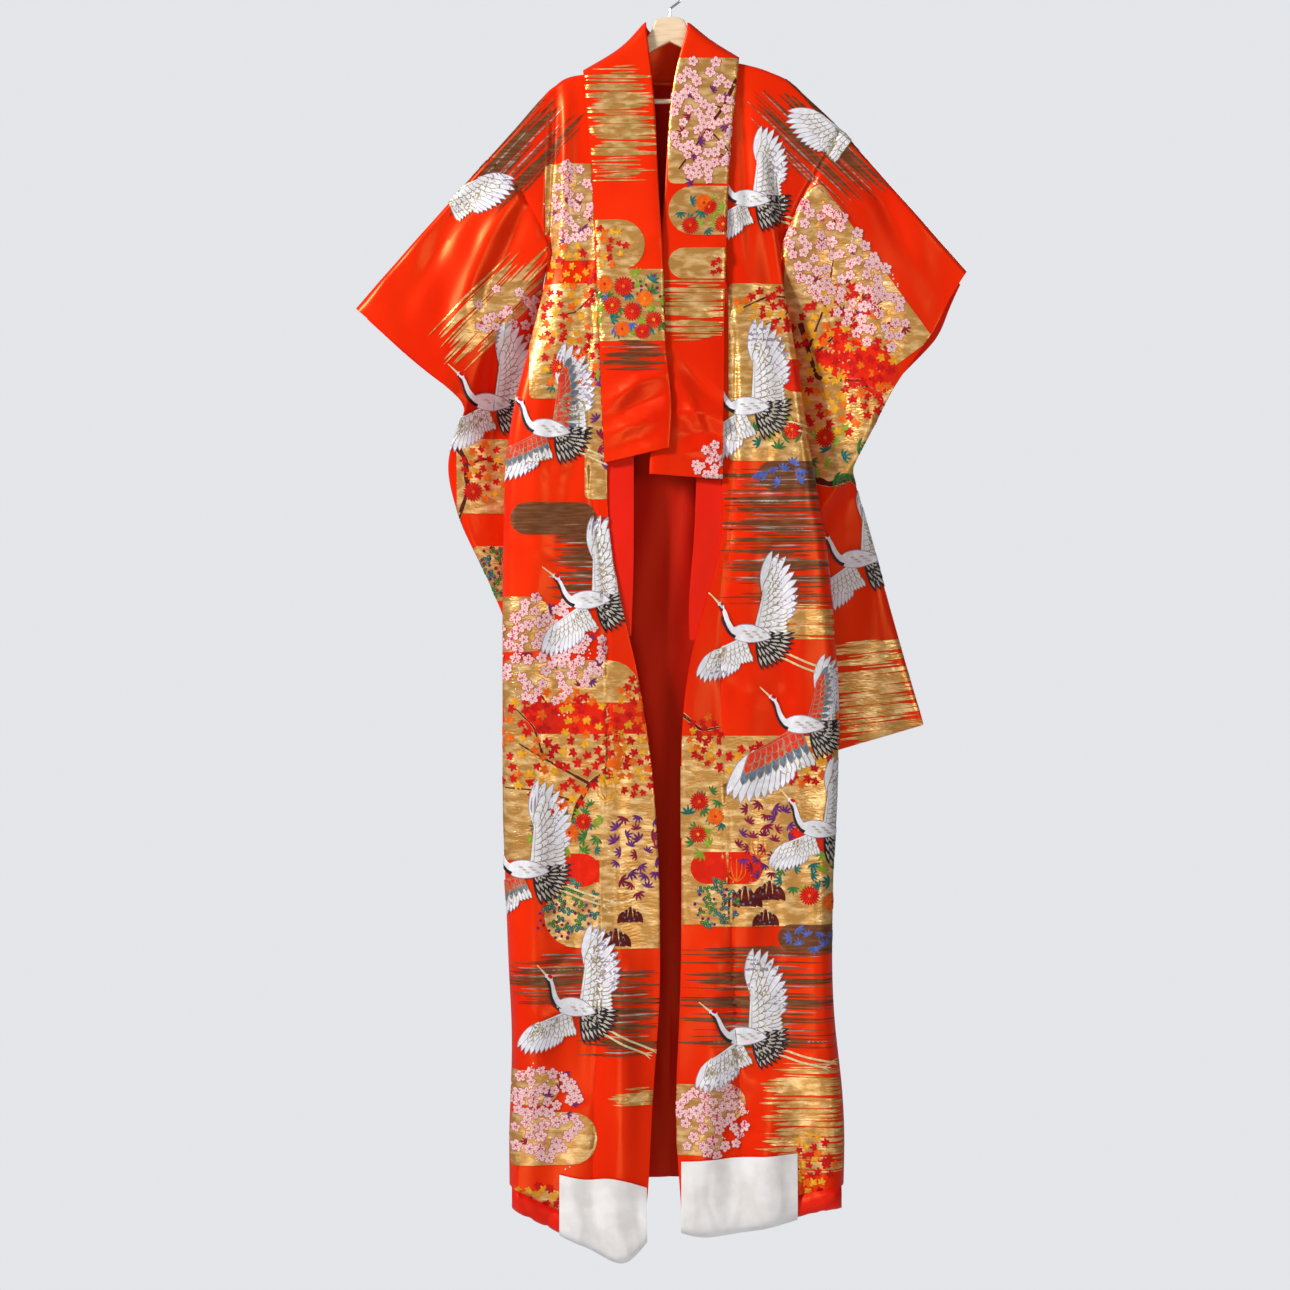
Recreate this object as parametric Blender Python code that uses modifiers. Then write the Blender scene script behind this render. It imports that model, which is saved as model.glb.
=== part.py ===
"""Wedding over-robe with long sleeves and a padded hem, hung on a wooden hanger.

The cloth pieces are the ones that a maker cuts and sews: backs, fronts, front strips, sleeves, collar,
linings, padded hem rolls and the white hem guards. Each is a thin wall worked out from the tables below.
Sizes are in millimetres: across is to the right seen from the front, drop is down from the inner top of
the hanger's hook, and back is away from the viewer. The front faces -Y and the hook's top is the origin.
"""

import math
from collections import namedtuple
from functools import partial

import bmesh
import bpy
import numpy as np

MM = 0.001

WALL = 2.0  # one layer of face cloth with its own lining
SEAM_GAP = 0.3  # between two pieces that are sewn together
LAYER_STEP = 2.9  # from the middle of one wall to the middle of a wall that lies on it
FOLD_RADIUS = 10.0  # how the cloth rounds over the shoulder and over the top of a sleeve
SIDE_RADIUS = 14.0  # how a front rounds into a back at the side
UNDERARM_INSET = 1.8  # how far a sleeve stops short of the body under the arm, where the walls meet aslant
UNDERARM_HALF = 2.2  # half the distance between front and back walls under the arm
VALLEY_WIDTH = 62.0  # width of the soft valley on each side of an armhole seam
SLEEVE_HALF = 9.0  # half the hollow of a hanging sleeve, wall middles
NECK_MARGIN = 6.0  # the neck opening of the back is this much narrower at each side than the collar
SLEEVE_EDGE_HALF = 0.6  # half the distance between the two layers along a closed sleeve edge
NECK_BACK = 45.0  # how far the back of the neck stands behind the shoulder fold
SIDE_END = 1930.0  # drop at which the body's sides end

COLLAR_WALL = 1.6
COLLAR_HALF = 2.2  # half the distance between the two layers of a folded collar band
COLLAR_LIFT = 4.9  # from the middle of a front to the middle of the collar on it
COLLAR_CROSSING = 9.5  # how much further forward the upper collar's free edge lies
COLLAR_OVERLAP = 8.0  # how far a front runs in under its collar
STRIP_TOP = 420.0  # drop below which a front strip starts, hidden under the collar
NECK_CLEAR = 5.8  # from the back's neck edge to the middle of the collar behind it
NECK_LEAN = 4.0  # how much less deep the collar's upper edge stands than the back's neck edge
NECK_DROPS = (168, 92)  # drop of the collar's lower and of its upper edge behind the neck

ROLL_HEIGHT = 34.0  # padded hem roll
ROLL_DEPTH = 18.0
FRONT_ROLL_BACK = -2.5  # how far the middle of a front roll stands behind the front's hem
BACK_ROLL_BACK = 7.4  # how far the middle of a back roll stands behind the back's hem
ROLL_SIDES = 10
GUARD_CLEAR = 2.6  # from the roll's face to the middle of the guard round it
GUARD_TOP = 6.9  # from the middle of a front to the middle of the guard at its upper edge
GUARD_MIDDLE = 9.9  # the same half-way down

HANGER_THICK = 10.0
HANGER_END = 200.0
HANGER_BEVEL = 2.5
HOOK_ROD = 4.0
HOOK_INNER = 22.0
HOOK_STEM = 52.0  # drop at which the wire leaves its straight stem
HOOK_TURN = range(-50, 216, 19)  # degrees round the hook's middle at which its wire has a point
BAR_DROP = 200.0
BAR_HALF = 175.4
BAR_ROD = 8.0

FOLD_ANGLES = (0, 10, 35, 62, 90)  # degrees round a folded edge at which a wall has a row of points
EDGE_STEPS = (SIDE_RADIUS, 4.0, 0.5, 0.0)  # distances from a closed edge at which a wall has points
ARMHOLE_SHARES = (0.26, 0.5, 0.75, 1.0)  # parts of an armhole at which sleeve and body have a row of points
BODY_COLUMNS = 8  # columns of points on a body panel or sleeve layer, those near its edge left out
SIDE_ROWS = 18  # rows of points down the body's side


def rows(columns, *lines):
    """A table: one named tuple for each line."""
    row = namedtuple("Row", columns)
    return [row(*line) for line in lines]


DEPTH = rows(
    "drop front back",
    (150, 10, 10),
    (300, 13, 13),
    (450, 19, 17),
    (700, 26, 20),
    (1000, 31, 23),
    (1500, 36, 26),
    (2060, 40, 30),
)

SHOULDER = {
    "left": rows(
        "across drop",
        (-290, 292), (-248, 246), (-211, 203), (-194, 181), (-157, 160), (-137, 159),
        (-110, 160), (-60, 161), (0, 161),
    ),
    "right": rows(
        "across drop",
        (0, 161), (60, 157), (90, 147), (109, 138.5), (131, 144), (154, 151), (197, 170),
        (218, 195), (250, 222), (272, 246),
    ),
}

ARMHOLE = {
    "left": rows(
        "along across drop",
        (0, -290, 292), (52, -258, 322), (98, -229, 358), (144, -206, 398), (191, -190, 442),
    ),
    "right": rows(
        "along across drop",
        (0, 272, 246), (59, 245, 299), (125, 210, 355), (180, 189, 406), (224, 171, 446),
    ),
}

BODY_EDGE = {
    "left": rows(
        "drop side seam",
        (440, -190, -109), (490, -200, -110), (550, -214, -125), (630, -234, -131), (700, -253, -136),
        (770, -262, -134), (870, -266, -118), (950, -267, -110), (1060, -267, -99), (1220, -267, -99),
        (1320, -267, -102), (1480, -261, -108), (1640, -255, -114), (1720, -249, -118),
        (1815, -257, -121), (2040, -254, -126),
    ),
    "right": rows(
        "drop side seam",
        (440, 171, 80), (490, 179, 84), (550, 190, 104), (630, 206, 106), (755, 222, 107),
        (870, 244, 101), (950, 255, 89), (1060, 264, 80), (1190, 270, 81), (1320, 265, 88),
        (1480, 259, 95), (1640, 258, 103), (1735, 271, 108), (1845, 279, 113), (2010, 273, 124),
    ),
}

FRONT_EDGE = {
    "left": rows(
        "drop across",
        (420, -100), (550, -104), (755, -97), (790, -103), (870, -99), (950, -91), (1015, -77),
        (1062, -61), (1142, -48), (1254, -29), (1318, -24), (1480, -16), (1640, -16), (1766, -27),
        (1932, -34), (2040, -40),
    ),
    "right": rows(
        "drop across",
        (420, 72), (550, 77), (780, 77), (820, 84), (902, 86), (942, 74), (1019, 53), (1070, 35),
        (1142, 22), (1286, 16), (1478, 18), (1640, 16), (1800, 8), (1880, 11), (2010, 22),
    ),
}

# Free edge of the bright lining that shows beside each front strip, below the collar
TURNED_EDGE = {
    "left": rows("drop across", (745, -58), (934, -58), (1055, -62)),
    "right": rows("drop across", (765, 43), (902, 38), (1014, 29), (1062, 31)),
}
TURNED_ROWS = 7

COLLAR_OUTER = {
    "left": rows("drop across", (153, -137.6), (305, -125), (475, -117), (550, -114), (780, -104)),
    "right": rows("drop across", (132, 109), (326, 93), (550, 86.5), (806, 83)),
}
COLLAR_INNER = {
    "left": rows(
        "drop across",
        (76, -40), (121, -35), (219, -26), (331, -22), (454, -14), (590, -11), (697, 1), (757, -4),
    ),
    "right": rows(
        "drop across",
        (76, 30), (113, 18), (145, 10), (219, 2), (331, -5), (454, -14), (590, -22), (798, -30),
    ),
}
COLLAR_TOP = {
    "left": rows("share across drop", (0, -137.6, 153), (0.6, -72, 113), (1, -40, 76)),
    "right": rows("share across drop", (0, 109, 132), (0.62, 59, 101), (1, 30, 76)),
}
COLLAR_END = {"left": (780, 757), "right": (806, 798)}  # drop of the outer and of the inner corner

HEM = {
    "left": rows(
        "across drop", (-267, 1929), (-250, 1931), (-215, 1949), (-178, 1967), (-126, 1989),
        (-74, 2015), (-50, 2001), (-34, 1975),
    ),
    "right": rows(
        "across drop", (8, 1956), (22, 1966), (45, 1971), (131, 1960), (192, 1947), (250, 1931), (283, 1929),
    ),
}
BACK_HEM = rows("away drop", (0, 1890), (120, 1900), (230, 1920), (285, 1929))
# Upper edge of each white guard, from its first to its last place across
GUARD_UPPER = {
    "left": rows("across drop", (-185, 1907), (-122, 1918), (-99, 1913), (-30, 1932)),
    "right": rows("across drop", (10, 1888.5), (123, 1881), (205, 1876)),
}

SLEEVE = {
    "left": rows(
        "row inner_across inner_drop inner_back outer_across outer_drop outer_back",
        (0, -290, 292, 0, -502, 532, 0),
        (1, -258, 322, 0, -454, 573, 0),
        (2, -229, 358, 0, -416, 607, 0),
        (3, -206, 398, 0, -376, 641, 1),
        (4, -190, 442, 0, -346, 666, 4),
        (5, -207, 494, 40, -328, 690, 12),
        (6, -195, 566, 58, -341, 722, 30),
        (7, -176, 654, 66, -360, 782, 48),
        (8, -144, 742, 74, -338, 871, 60),
        (9, -88, 822, 80, -301, 948, 66),
        (10, -24, 950, 84, -267, 1028, 70),
        (11, 40, 1078, 86, -211, 1170, 72),
        (12, 93, 1241, 86, -144, 1378, 74),
    ),
    "right": rows(
        "row inner_across inner_drop inner_back outer_across outer_drop outer_back",
        (0, 272, 246, 0, 474, 473, 0),
        (1, 245, 299, 0, 443, 521, 0),
        (2, 210, 355, 0, 424, 567, 0),
        (3, 189, 406, 0, 391, 610, 0),
        (4, 171, 446, 0, 358, 656, 1),
        (5, 183, 502, 40, 327, 717, 4),
        (6, 176, 582, 58, 306, 757, 8),
        (7, 164, 730, 68, 297, 776, 14),
        (8, 157, 982, 74, 293, 785, 20),
        (9, 150, 1038, 84, 300, 812, 50),
        (10, 139, 1110, 86, 333, 926, 62),
        (11, 126, 1200, 88, 374, 1070, 68),
        (12, 115, 1287, 88, 412, 1199, 70),
    ),
}
UNDERARM_ROW = 4  # where the seam between sleeve and body ends
BOTTOM_ROW = 12
CUFF_OPEN_ROWS = (4.2, 5.0)  # where the opening at the wrist ends and the closed seam starts
SLEEVE_ROWS = (4.5, 5, 5.5, 6, 6.5, 7, 7.5, 8, 8.5, 9, 9.5, 10, 11)
BOTTOM_STEPS = (40, 14, 4, 0.5, 0)  # distances from a sleeve's bottom at which it has points

# Soft vertical folds: where each starts and ends, its half width and how far it stands out
FRONT_FOLDS = {
    "left": rows(
        "top_across top_drop low_across low_drop width out",
        (-205, 520, -232, 1990, 26, 9),
        (-172, 420, -192, 1990, 24, -8),
        (-150, 600, -152, 1990, 20, 6),
        (-70, 1250, -86, 2050, 20, 7),
    ),
    "right": rows(
        "top_across top_drop low_across low_drop width out",
        (186, 560, 236, 1990, 26, 9),
        (150, 330, 196, 1990, 24, -8),
        (128, 700, 150, 1990, 22, 6),
        (56, 1300, 70, 2050, 20, 7),
    ),
}
BACK_FOLDS = {
    "left": rows(
        "top_across top_drop low_across low_drop width out",
        (-170, 420, -206, 1990, 30, 8),
        (-110, 520, -128, 1990, 28, -6),
        (-58, 300, -64, 1990, 26, 6),
    ),
    "right": rows(
        "top_across top_drop low_across low_drop width out",
        (160, 420, 214, 1990, 30, 8),
        (104, 480, 132, 1990, 28, -6),
        (54, 340, 66, 1990, 26, 6),
    ),
}
# Drapes of a sleeve, between two places given as share across and row
SLEEVE_FOLDS = {
    "left": rows(
        "from_share from_row to_share to_row width out",
        (0.12, 0.8, 0.9, 3.9, 0.13, 7),
        (0.1, 2.4, 0.75, 5.2, 0.12, -8),
        (0.2, 6.2, 0.95, 6.9, 0.2, -7),
        (0.35, 7.5, 0.3, 12, 0.12, 8),
        (0.7, 8.5, 0.72, 12, 0.12, -6),
    ),
    "right": rows(
        "from_share from_row to_share to_row width out",
        (0.12, 0.8, 0.85, 3.4, 0.13, 7),
        (0.1, 2.2, 0.8, 4.6, 0.12, -8),
        (0.25, 4.6, 0.9, 6.4, 0.16, 6),
        (0.3, 9.2, 0.3, 12, 0.12, 7),
        (0.62, 9.2, 0.66, 12, 0.12, -5),
    ),
}

COLOURS = {
    "face": ((0.80, 0.05, 0.012), 0.45),
    "lining": ((0.85, 0.012, 0.012), 0.5),
    "inner": ((0.38, 0.0, 0.006), 0.6),
    "guard": ((0.82, 0.78, 0.76), 0.8),
    "wood": ((0.75, 0.52, 0.32), 0.5),
    "steel": ((0.65, 0.65, 0.66), 0.25),
}
SIGN = {"left": -1, "right": 1}


def look(table, given, wanted, at):
    """One column of a table where another has the value at, smooth through every row and never past it."""
    known = sorted((getattr(row, given), getattr(row, wanted)) for row in table)
    x, y = np.array(known, float).T
    step = np.diff(x)
    rise = np.diff(y) / step
    slope = np.zeros_like(x)
    slope[0], slope[-1] = rise[0], rise[-1]
    turns = rise[:-1] * rise[1:] <= 0
    total = np.where(turns, 1, rise[:-1] + rise[1:])
    slope[1:-1] = np.where(turns, 0, 2 * rise[:-1] * rise[1:] / total)
    at = np.clip(np.asarray(at, float), x[0], x[-1])
    i = np.clip(np.searchsorted(x, at, side="right") - 1, 0, len(x) - 2)
    f = (at - x[i]) / step[i]
    start = (2 * f**3 - 3 * f**2 + 1) * y[i] + (f**3 - 2 * f**2 + f) * step[i] * slope[i]
    end = (3 * f**2 - 2 * f**3) * y[i + 1] + (f**3 - f**2) * step[i] * slope[i + 1]
    return start + end


def ease(value, start, end):
    """0 before start, 1 after end, and smooth between."""
    f = np.clip((np.asarray(value, float) - start) / (end - start), 0, 1)
    return f * f * (3 - 2 * f)


def mix(a, b, share):
    return a + (b - a) * share


def rounded(distance, radius):
    """How far a rounded edge has opened, from 0 at the edge to 1 at its radius."""
    f = np.clip(np.asarray(distance, float) / radius, 0, 1)
    return np.sqrt(1 - (1 - f) ** 2)


def fold_drops():
    """Distances below a folded edge of the rows that round it."""
    return [FOLD_RADIUS * (1 - math.cos(math.radians(a))) for a in FOLD_ANGLES]


def folds_at(table, across, drop):
    """How far the soft vertical folds push the cloth out at a place."""
    out = np.zeros(np.broadcast(across, drop).shape)
    for fold in table:
        share = np.clip((drop - fold.top_drop) / (fold.low_drop - fold.top_drop), 0, 1)
        middle = mix(fold.top_across, fold.low_across, share)
        fade = ease(drop, fold.top_drop, fold.top_drop + 260)
        out = out + fold.out * fade * np.exp(-(((across - middle) / fold.width) ** 2))
    return out


def front_out(side, across, drop):
    """How far the front of the body stands before the shoulder fold, sides apart."""
    return look(DEPTH, "drop", "front", drop) + folds_at(FRONT_FOLDS[side], across, drop)


def back_out(side, across, drop):
    """How far the back of the body stands behind the shoulder fold, sides apart."""
    flat = look(DEPTH, "drop", "back", drop) + folds_at(BACK_FOLDS[side], across, drop)
    neck = neck_back(across)
    return flat + np.maximum(neck - 8, 0) * (1 - ease(drop, 170, 620))


def neck_back(across):
    """How far the neck edge of the back stands behind the shoulder fold, none outside the neck."""
    left, right = COLLAR_TOP["left"][0].across, COLLAR_TOP["right"][0].across
    middle, half = (left + right) / 2, (right - left) / 2 - NECK_MARGIN
    return NECK_BACK * np.sqrt(np.clip(1 - ((across - middle) / half) ** 2, 0, 1))


def neck_front(side, across):
    """How far the top of a front stands before the shoulder fold where it runs in under the collar."""
    edge = abs(COLLAR_TOP[side][0].across)
    return (FOLD_RADIUS - 2) * (1 - ease(np.abs(across), edge, edge + 14))


def armhole_length(side):
    return ARMHOLE[side][-1].along


def armhole_half(side, along):
    """Half the distance between front and back walls along an armhole seam."""
    return mix(FOLD_RADIUS, UNDERARM_HALF, ease(along, 60, armhole_length(side)))


def body_length(side):
    """Length of the body's outer edge, down the armhole and then down the side."""
    armhole = ARMHOLE[side][-1]
    return armhole.along + SIDE_END - armhole.drop


def body_steps(side):
    """Distances down the body's outer edge at which it has a row of points."""
    armhole = armhole_length(side)
    upper = [armhole * share for share in ARMHOLE_SHARES]
    lower = list(np.linspace(armhole, body_length(side), SIDE_ROWS + 1)[1:])
    return np.array(fold_drops() + upper + lower)


def outer_edge(side, along):
    """The body's outer edge, across and drop, at distances down it."""
    armhole = ARMHOLE[side][-1]
    drop = np.where(
        along <= armhole.along,
        look(ARMHOLE[side], "along", "drop", along),
        armhole.drop + along - armhole.along,
    )
    across = np.where(
        along <= armhole.along,
        look(ARMHOLE[side], "along", "across", along),
        look(BODY_EDGE[side], "drop", "side", drop),
    )
    return across, drop


def front_inner_edge(side, along):
    """The inner edge of a main front panel: under the collar, then down the strip's seam."""
    start = float(look(SHOULDER[side], "across", "drop", COLLAR_OUTER[side][0].across))
    end = float(look(HEM[side], "across", "drop", BODY_EDGE[side][-1].seam))
    drop = start + along * (end - start) / body_length(side)
    under = look(COLLAR_OUTER[side], "drop", "across", drop) - SIGN[side] * COLLAR_OVERLAP
    seam = look(BODY_EDGE[side], "drop", "seam", drop)
    return mix(under, seam, ease(drop, 440, 490)), drop


def columns_of(width, count):
    """Shares across a panel for its columns, closer together towards its outer edge."""
    edge = 1 - np.array(EDGE_STEPS)[None, :] / width[:, None]
    even = np.linspace(0, 1, count)[None, :-1] * edge[:, :1]
    return np.concatenate([even, edge], axis=1)


def body_panel(side, inner, out, sign, hem):
    """A grid of across, back and drop for one quarter of the body, from its inner edge to its side."""
    along = body_steps(side)
    in_across, in_drop = inner
    out_across, out_drop = outer_edge(side, along)
    share = columns_of(np.abs(out_across - in_across), BODY_COLUMNS)
    across = mix(in_across[:, None], out_across[:, None], share)
    drop = mix(in_drop[:, None], out_drop[:, None], share)
    top = look(SHOULDER[side], "across", "drop", across[0]) - drop[0]
    drop = drop + top[None, :] * np.exp(-along / 170)[:, None]
    low = hem(across[-1]) - drop[-1]
    drop = drop + low[None, :] * np.exp((along - along[-1]) / 190)[:, None]

    away = np.abs(out_across[:, None] - across)
    deep = out(side, across, drop)
    armhole = armhole_length(side)
    at_seam = armhole_half(side, along)[:, None]
    valley = mix(at_seam, np.maximum(deep, at_seam), ease(away, 0, VALLEY_WIDTH))
    closed = mix(SEAM_GAP, deep, rounded(away, SIDE_RADIUS))
    shut = ease(along, armhole + 60, armhole + 230)[:, None]
    half = mix(valley, closed, shut)
    neck = neck_back(across) if sign > 0 else neck_front(side, across)
    half = mix(np.maximum(neck, SEAM_GAP), half, rounded(along, FOLD_RADIUS)[:, None])
    half = np.maximum(half, SEAM_GAP)
    return np.stack([across, sign * half, drop], axis=2)


def front_panel(side):
    inner = front_inner_edge(side, body_steps(side))
    inner = (inner[0] + SIGN[side] * SEAM_GAP / 2, inner[1])
    hem = partial(look, HEM[side], "across", "drop")
    return body_panel(side, inner, front_out, -1, hem)


def back_panel(side):
    along = body_steps(side)
    start = SHOULDER[side][-1 if side == "left" else 0].drop
    drop = start + along * (BACK_HEM[0].drop - start) / body_length(side)
    inner = (np.full_like(along, SIGN[side] * SEAM_GAP / 2), drop)
    return body_panel(side, inner, back_out, 1, back_hem)


def back_hem(across):
    return look(BACK_HEM, "away", "drop", np.abs(across))


def strip_panel(side):
    """The narrow front strip that overlaps in wear, from its point under the collar to the hem."""
    across, drop = front_inner_edge(side, body_steps(side))
    used = drop > STRIP_TOP
    seam, drop = across[used] - SIGN[side] * SEAM_GAP / 2, drop[used]
    edge = look(FRONT_EDGE[side], "drop", "across", drop)
    share = np.linspace(0, 1, 5)[None, :]
    across = mix(edge[:, None], seam[:, None], share)
    low = look(HEM[side], "across", "drop", across[-1]) - drop[-1]
    down = drop[:, None] + low[None, :] * np.exp((drop - drop[-1]) / 110)[:, None]
    return np.stack([across, -front_out(side, across, down), down], axis=2)


def back_lining(side):
    """The dark lining inside one half of the back, a sheet in front of its panel and of the hem roll."""
    grid = back_panel(side)[3:, : -len(EDGE_STEPS) + 1]
    seam = grid[:, 0, 0].copy()
    grid = grid + across_normals(grid) * LAYER_STEP
    grid[:, 0, 0] = seam
    below = grid[-1:].copy()
    below[..., 2] += ROLL_HEIGHT
    return np.concatenate([grid, below])


def turned_lining(side):
    """The bright lining that shows where a front's edge is turned back below the collar."""
    free_edge = TURNED_EDGE[side]
    drop = np.linspace(free_edge[0].drop, free_edge[-1].drop, TURNED_ROWS)[:, None]
    sewn = look(FRONT_EDGE[side], "drop", "across", drop) + SIGN[side] * COLLAR_OVERLAP
    free = look(free_edge, "drop", "across", drop)
    across = mix(sewn, free, np.linspace(0, 1, 4)[None, :])
    back = LAYER_STEP - front_out(side, across, drop)
    return np.stack([across, back, drop + 0 * across], axis=2)


def collar_band(side):
    """A front collar: one sheet folded along its free edge, two layers lying on the front."""
    end_outer, end_inner = COLLAR_END[side]
    radius = FOLD_RADIUS + COLLAR_LIFT
    angles = np.radians(FOLD_ANGLES)
    over = radius * (1 - np.cos(angles))
    lower = np.linspace(0, 1, 13)[1:]
    lift = COLLAR_CROSSING if side == "left" else 0.0
    layer = []
    for share in np.linspace(0, 1, 5):
        top_across = float(look(COLLAR_TOP[side], "share", "across", share))
        top_drop = float(look(COLLAR_TOP[side], "share", "drop", share))
        end_drop = mix(end_outer, end_inner, share)
        drop = np.concatenate([top_drop + over, mix(top_drop + over[-1], end_drop, lower)])
        outer = look(COLLAR_OUTER[side], "drop", "across", drop)
        inner = look(COLLAR_INNER[side], "drop", "across", drop)
        settled = mix(outer, inner, share)
        across = mix(top_across, settled, ease(drop, top_drop, top_drop + 90))
        deep = look(DEPTH, "drop", "front", drop)
        hung = deep + COLLAR_LIFT + lift * share * ease(drop, 120, 330)
        half = np.where(drop < top_drop + radius, 0, hung)
        half[: len(angles)] = radius * np.sin(angles)
        half[len(angles):] = np.maximum(half[len(angles):], radius)
        half[0] = SEAM_GAP
        layer.append(np.stack([across, -half, drop], axis=1))
    middle = np.stack(layer, axis=1)
    return folded_in_two(middle)


def folded_in_two(middle):
    """Two layers round a middle sheet, joined by a narrow fold along its last column."""
    normal = across_normals(middle)
    front = middle + normal * COLLAR_HALF
    behind = middle - normal * COLLAR_HALF
    outward = middle[:, -1] - middle[:, -2]
    outward = outward / np.linalg.norm(outward, axis=1)[:, None]
    turn = middle[:, -1] + outward * COLLAR_HALF
    return np.concatenate([front, turn[:, None], behind[:, ::-1]], axis=1)


def across_normals(grid):
    """Unit normals of a grid, towards the front or outward."""
    down = np.gradient(grid, axis=0)
    along = np.gradient(grid, axis=1)
    normal = np.cross(down, along)
    normal /= np.linalg.norm(normal, axis=2)[..., None]
    facing = np.sign(-normal[len(normal) // 2, normal.shape[1] // 2, 1])
    return normal * facing


def collar_neck():
    """The collar behind the neck, from one shoulder round to the other."""
    half_turn = np.linspace(0, math.pi, 13)
    share = np.linspace(0, 1, 4)
    left, right = COLLAR_TOP["left"], COLLAR_TOP["right"]
    grid = []
    for turn in half_turn:
        way = (1 - math.cos(turn)) / 2
        behind = math.sin(turn)
        line = []
        for part in share:
            start = [float(look(left, "share", key, part)) for key in ("across", "drop")]
            end = [float(look(right, "share", key, part)) for key in ("across", "drop")]
            across = mix(start[0], end[0], way)
            level = mix(start[1], end[1], way)
            low = mix(*NECK_DROPS, part)
            deep = NECK_BACK + mix(NECK_CLEAR, -NECK_LEAN, part)
            line.append((across, 3 * SEAM_GAP + deep * behind, mix(level, low, behind**1.5)))
        grid.append(line)
    return np.array(grid)


def sleeve_middle(side, row, share):
    """A place on the middle of a sleeve: a row number and a share from its inner to its outer edge."""
    table = SLEEVE[side]
    along = np.clip(row / UNDERARM_ROW, 0, 1) * armhole_length(side)
    held = row <= UNDERARM_ROW
    inner_across = np.where(
        held, look(ARMHOLE[side], "along", "across", along), look(table, "row", "inner_across", row)
    )
    inner_drop = np.where(
        held, look(ARMHOLE[side], "along", "drop", along), look(table, "row", "inner_drop", row)
    )
    inner = np.stack([inner_across, look(table, "row", "inner_back", row), inner_drop], axis=-1)
    outer = np.stack(
        [look(table, "row", f"outer_{key}", row) for key in ("across", "back", "drop")], axis=-1
    )
    point = mix(inner, outer, share[..., None])
    for fold in SLEEVE_FOLDS[side]:
        part = (row - fold.from_row) / (fold.to_row - fold.from_row)
        middle = mix(fold.from_share, fold.to_share, np.clip(part, 0, 1))
        fade = ease(part, -0.15, 0.25) * (1 - ease(part, 0.85, 1.15))
        point[..., 1] -= fold.out * fade * np.exp(-(((share - middle) / fold.width) ** 2))
    return point


def sleeve_rows(side):
    """Row numbers of a sleeve's points: its folded top, the armhole, the hanging part and the bottom."""
    top = [UNDERARM_ROW * drop / armhole_length(side) for drop in fold_drops()]
    upper = [UNDERARM_ROW * share for share in ARMHOLE_SHARES]
    bottom = [BOTTOM_ROW - step / bottom_length(side) for step in BOTTOM_STEPS]
    return np.array(top + upper + list(SLEEVE_ROWS) + bottom)


def bottom_length(side):
    """Distance down a sleeve between its last two rows in the table."""
    return SLEEVE[side][-1].inner_drop - SLEEVE[side][-2].inner_drop


def sleeve_layer(side, sign):
    """The front or back layer of a sleeve."""
    row = sleeve_rows(side)
    ends = sleeve_middle(side, np.stack([row, row]), np.array([[0.0], [1.0]]) + 0 * row)
    width = np.linalg.norm(ends[1] - ends[0], axis=1)
    share = columns_of(width, BODY_COLUMNS)
    inset = mix(SEAM_GAP / 2, UNDERARM_INSET, ease(row, 1.5, UNDERARM_ROW)) / width
    share = inset[:, None] + share * (1 - inset)[:, None]
    point = sleeve_middle(side, row[:, None] + 0 * share, share)
    along = (row / UNDERARM_ROW * armhole_length(side))[:, None]
    at_seam = mix(armhole_half(side, along), SLEEVE_HALF, ease(row, 3.95, 4.6)[:, None])
    from_inner = share * width[:, None]
    half = mix(at_seam, SLEEVE_HALF, ease(from_inner, 0, VALLEY_WIDTH))
    half = half * rounded(along, FOLD_RADIUS)
    to_outer = (1 - share) * width[:, None]
    shut = ease(row, *CUFF_OPEN_ROWS)[:, None]
    half = half * mix(1, rounded(to_outer, SIDE_RADIUS), shut)
    half = half * rounded((BOTTOM_ROW - row) * bottom_length(side), SIDE_RADIUS)[:, None]
    half = np.maximum(half, SLEEVE_EDGE_HALF)
    half[-3:, -3:] = np.maximum(half[-3:, -3:], 4 * SLEEVE_EDGE_HALF)
    point[..., 1] += sign * half
    return point


def cuff_lining(side, reach):
    """The edge of a sleeve's bright lining, rolled out a little past the cuff inside its back layer."""
    row = np.array([0.35, 0.7, 1.2, 1.7, 2.2, 2.7, 3.2, 3.7])
    outer = sleeve_middle(side, row, np.ones_like(row))
    inner = sleeve_middle(side, row, np.full_like(row, 0.9))
    way = outer - inner
    way[:, 1] = 0
    way /= np.linalg.norm(way, axis=1)[:, None]
    rolled = reach * np.sin(np.pi * np.linspace(0.12, 1, len(row)))
    steps = [outer - way * 24, outer - way * 8, outer + way * rolled[:, None]]
    grid = np.stack(steps, axis=1)
    grid[..., 1] += SLEEVE_HALF - LAYER_STEP - 0.6
    return grid


def hem_path(side, part):
    """Points along the middle of the roll under one hem, short of the side seam."""
    if part == "back":
        line = back_panel(side)[-1, : -len(EDGE_STEPS) + 2]
        shift = BACK_ROLL_BACK
    else:
        strip = strip_panel(side)[-1, :-1]
        line = np.concatenate([strip, front_panel(side)[-1, : -len(EDGE_STEPS) + 2]])
        shift = FRONT_ROLL_BACK
    return line + np.array([0, shift, SEAM_GAP + ROLL_HEIGHT / 2])


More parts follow.
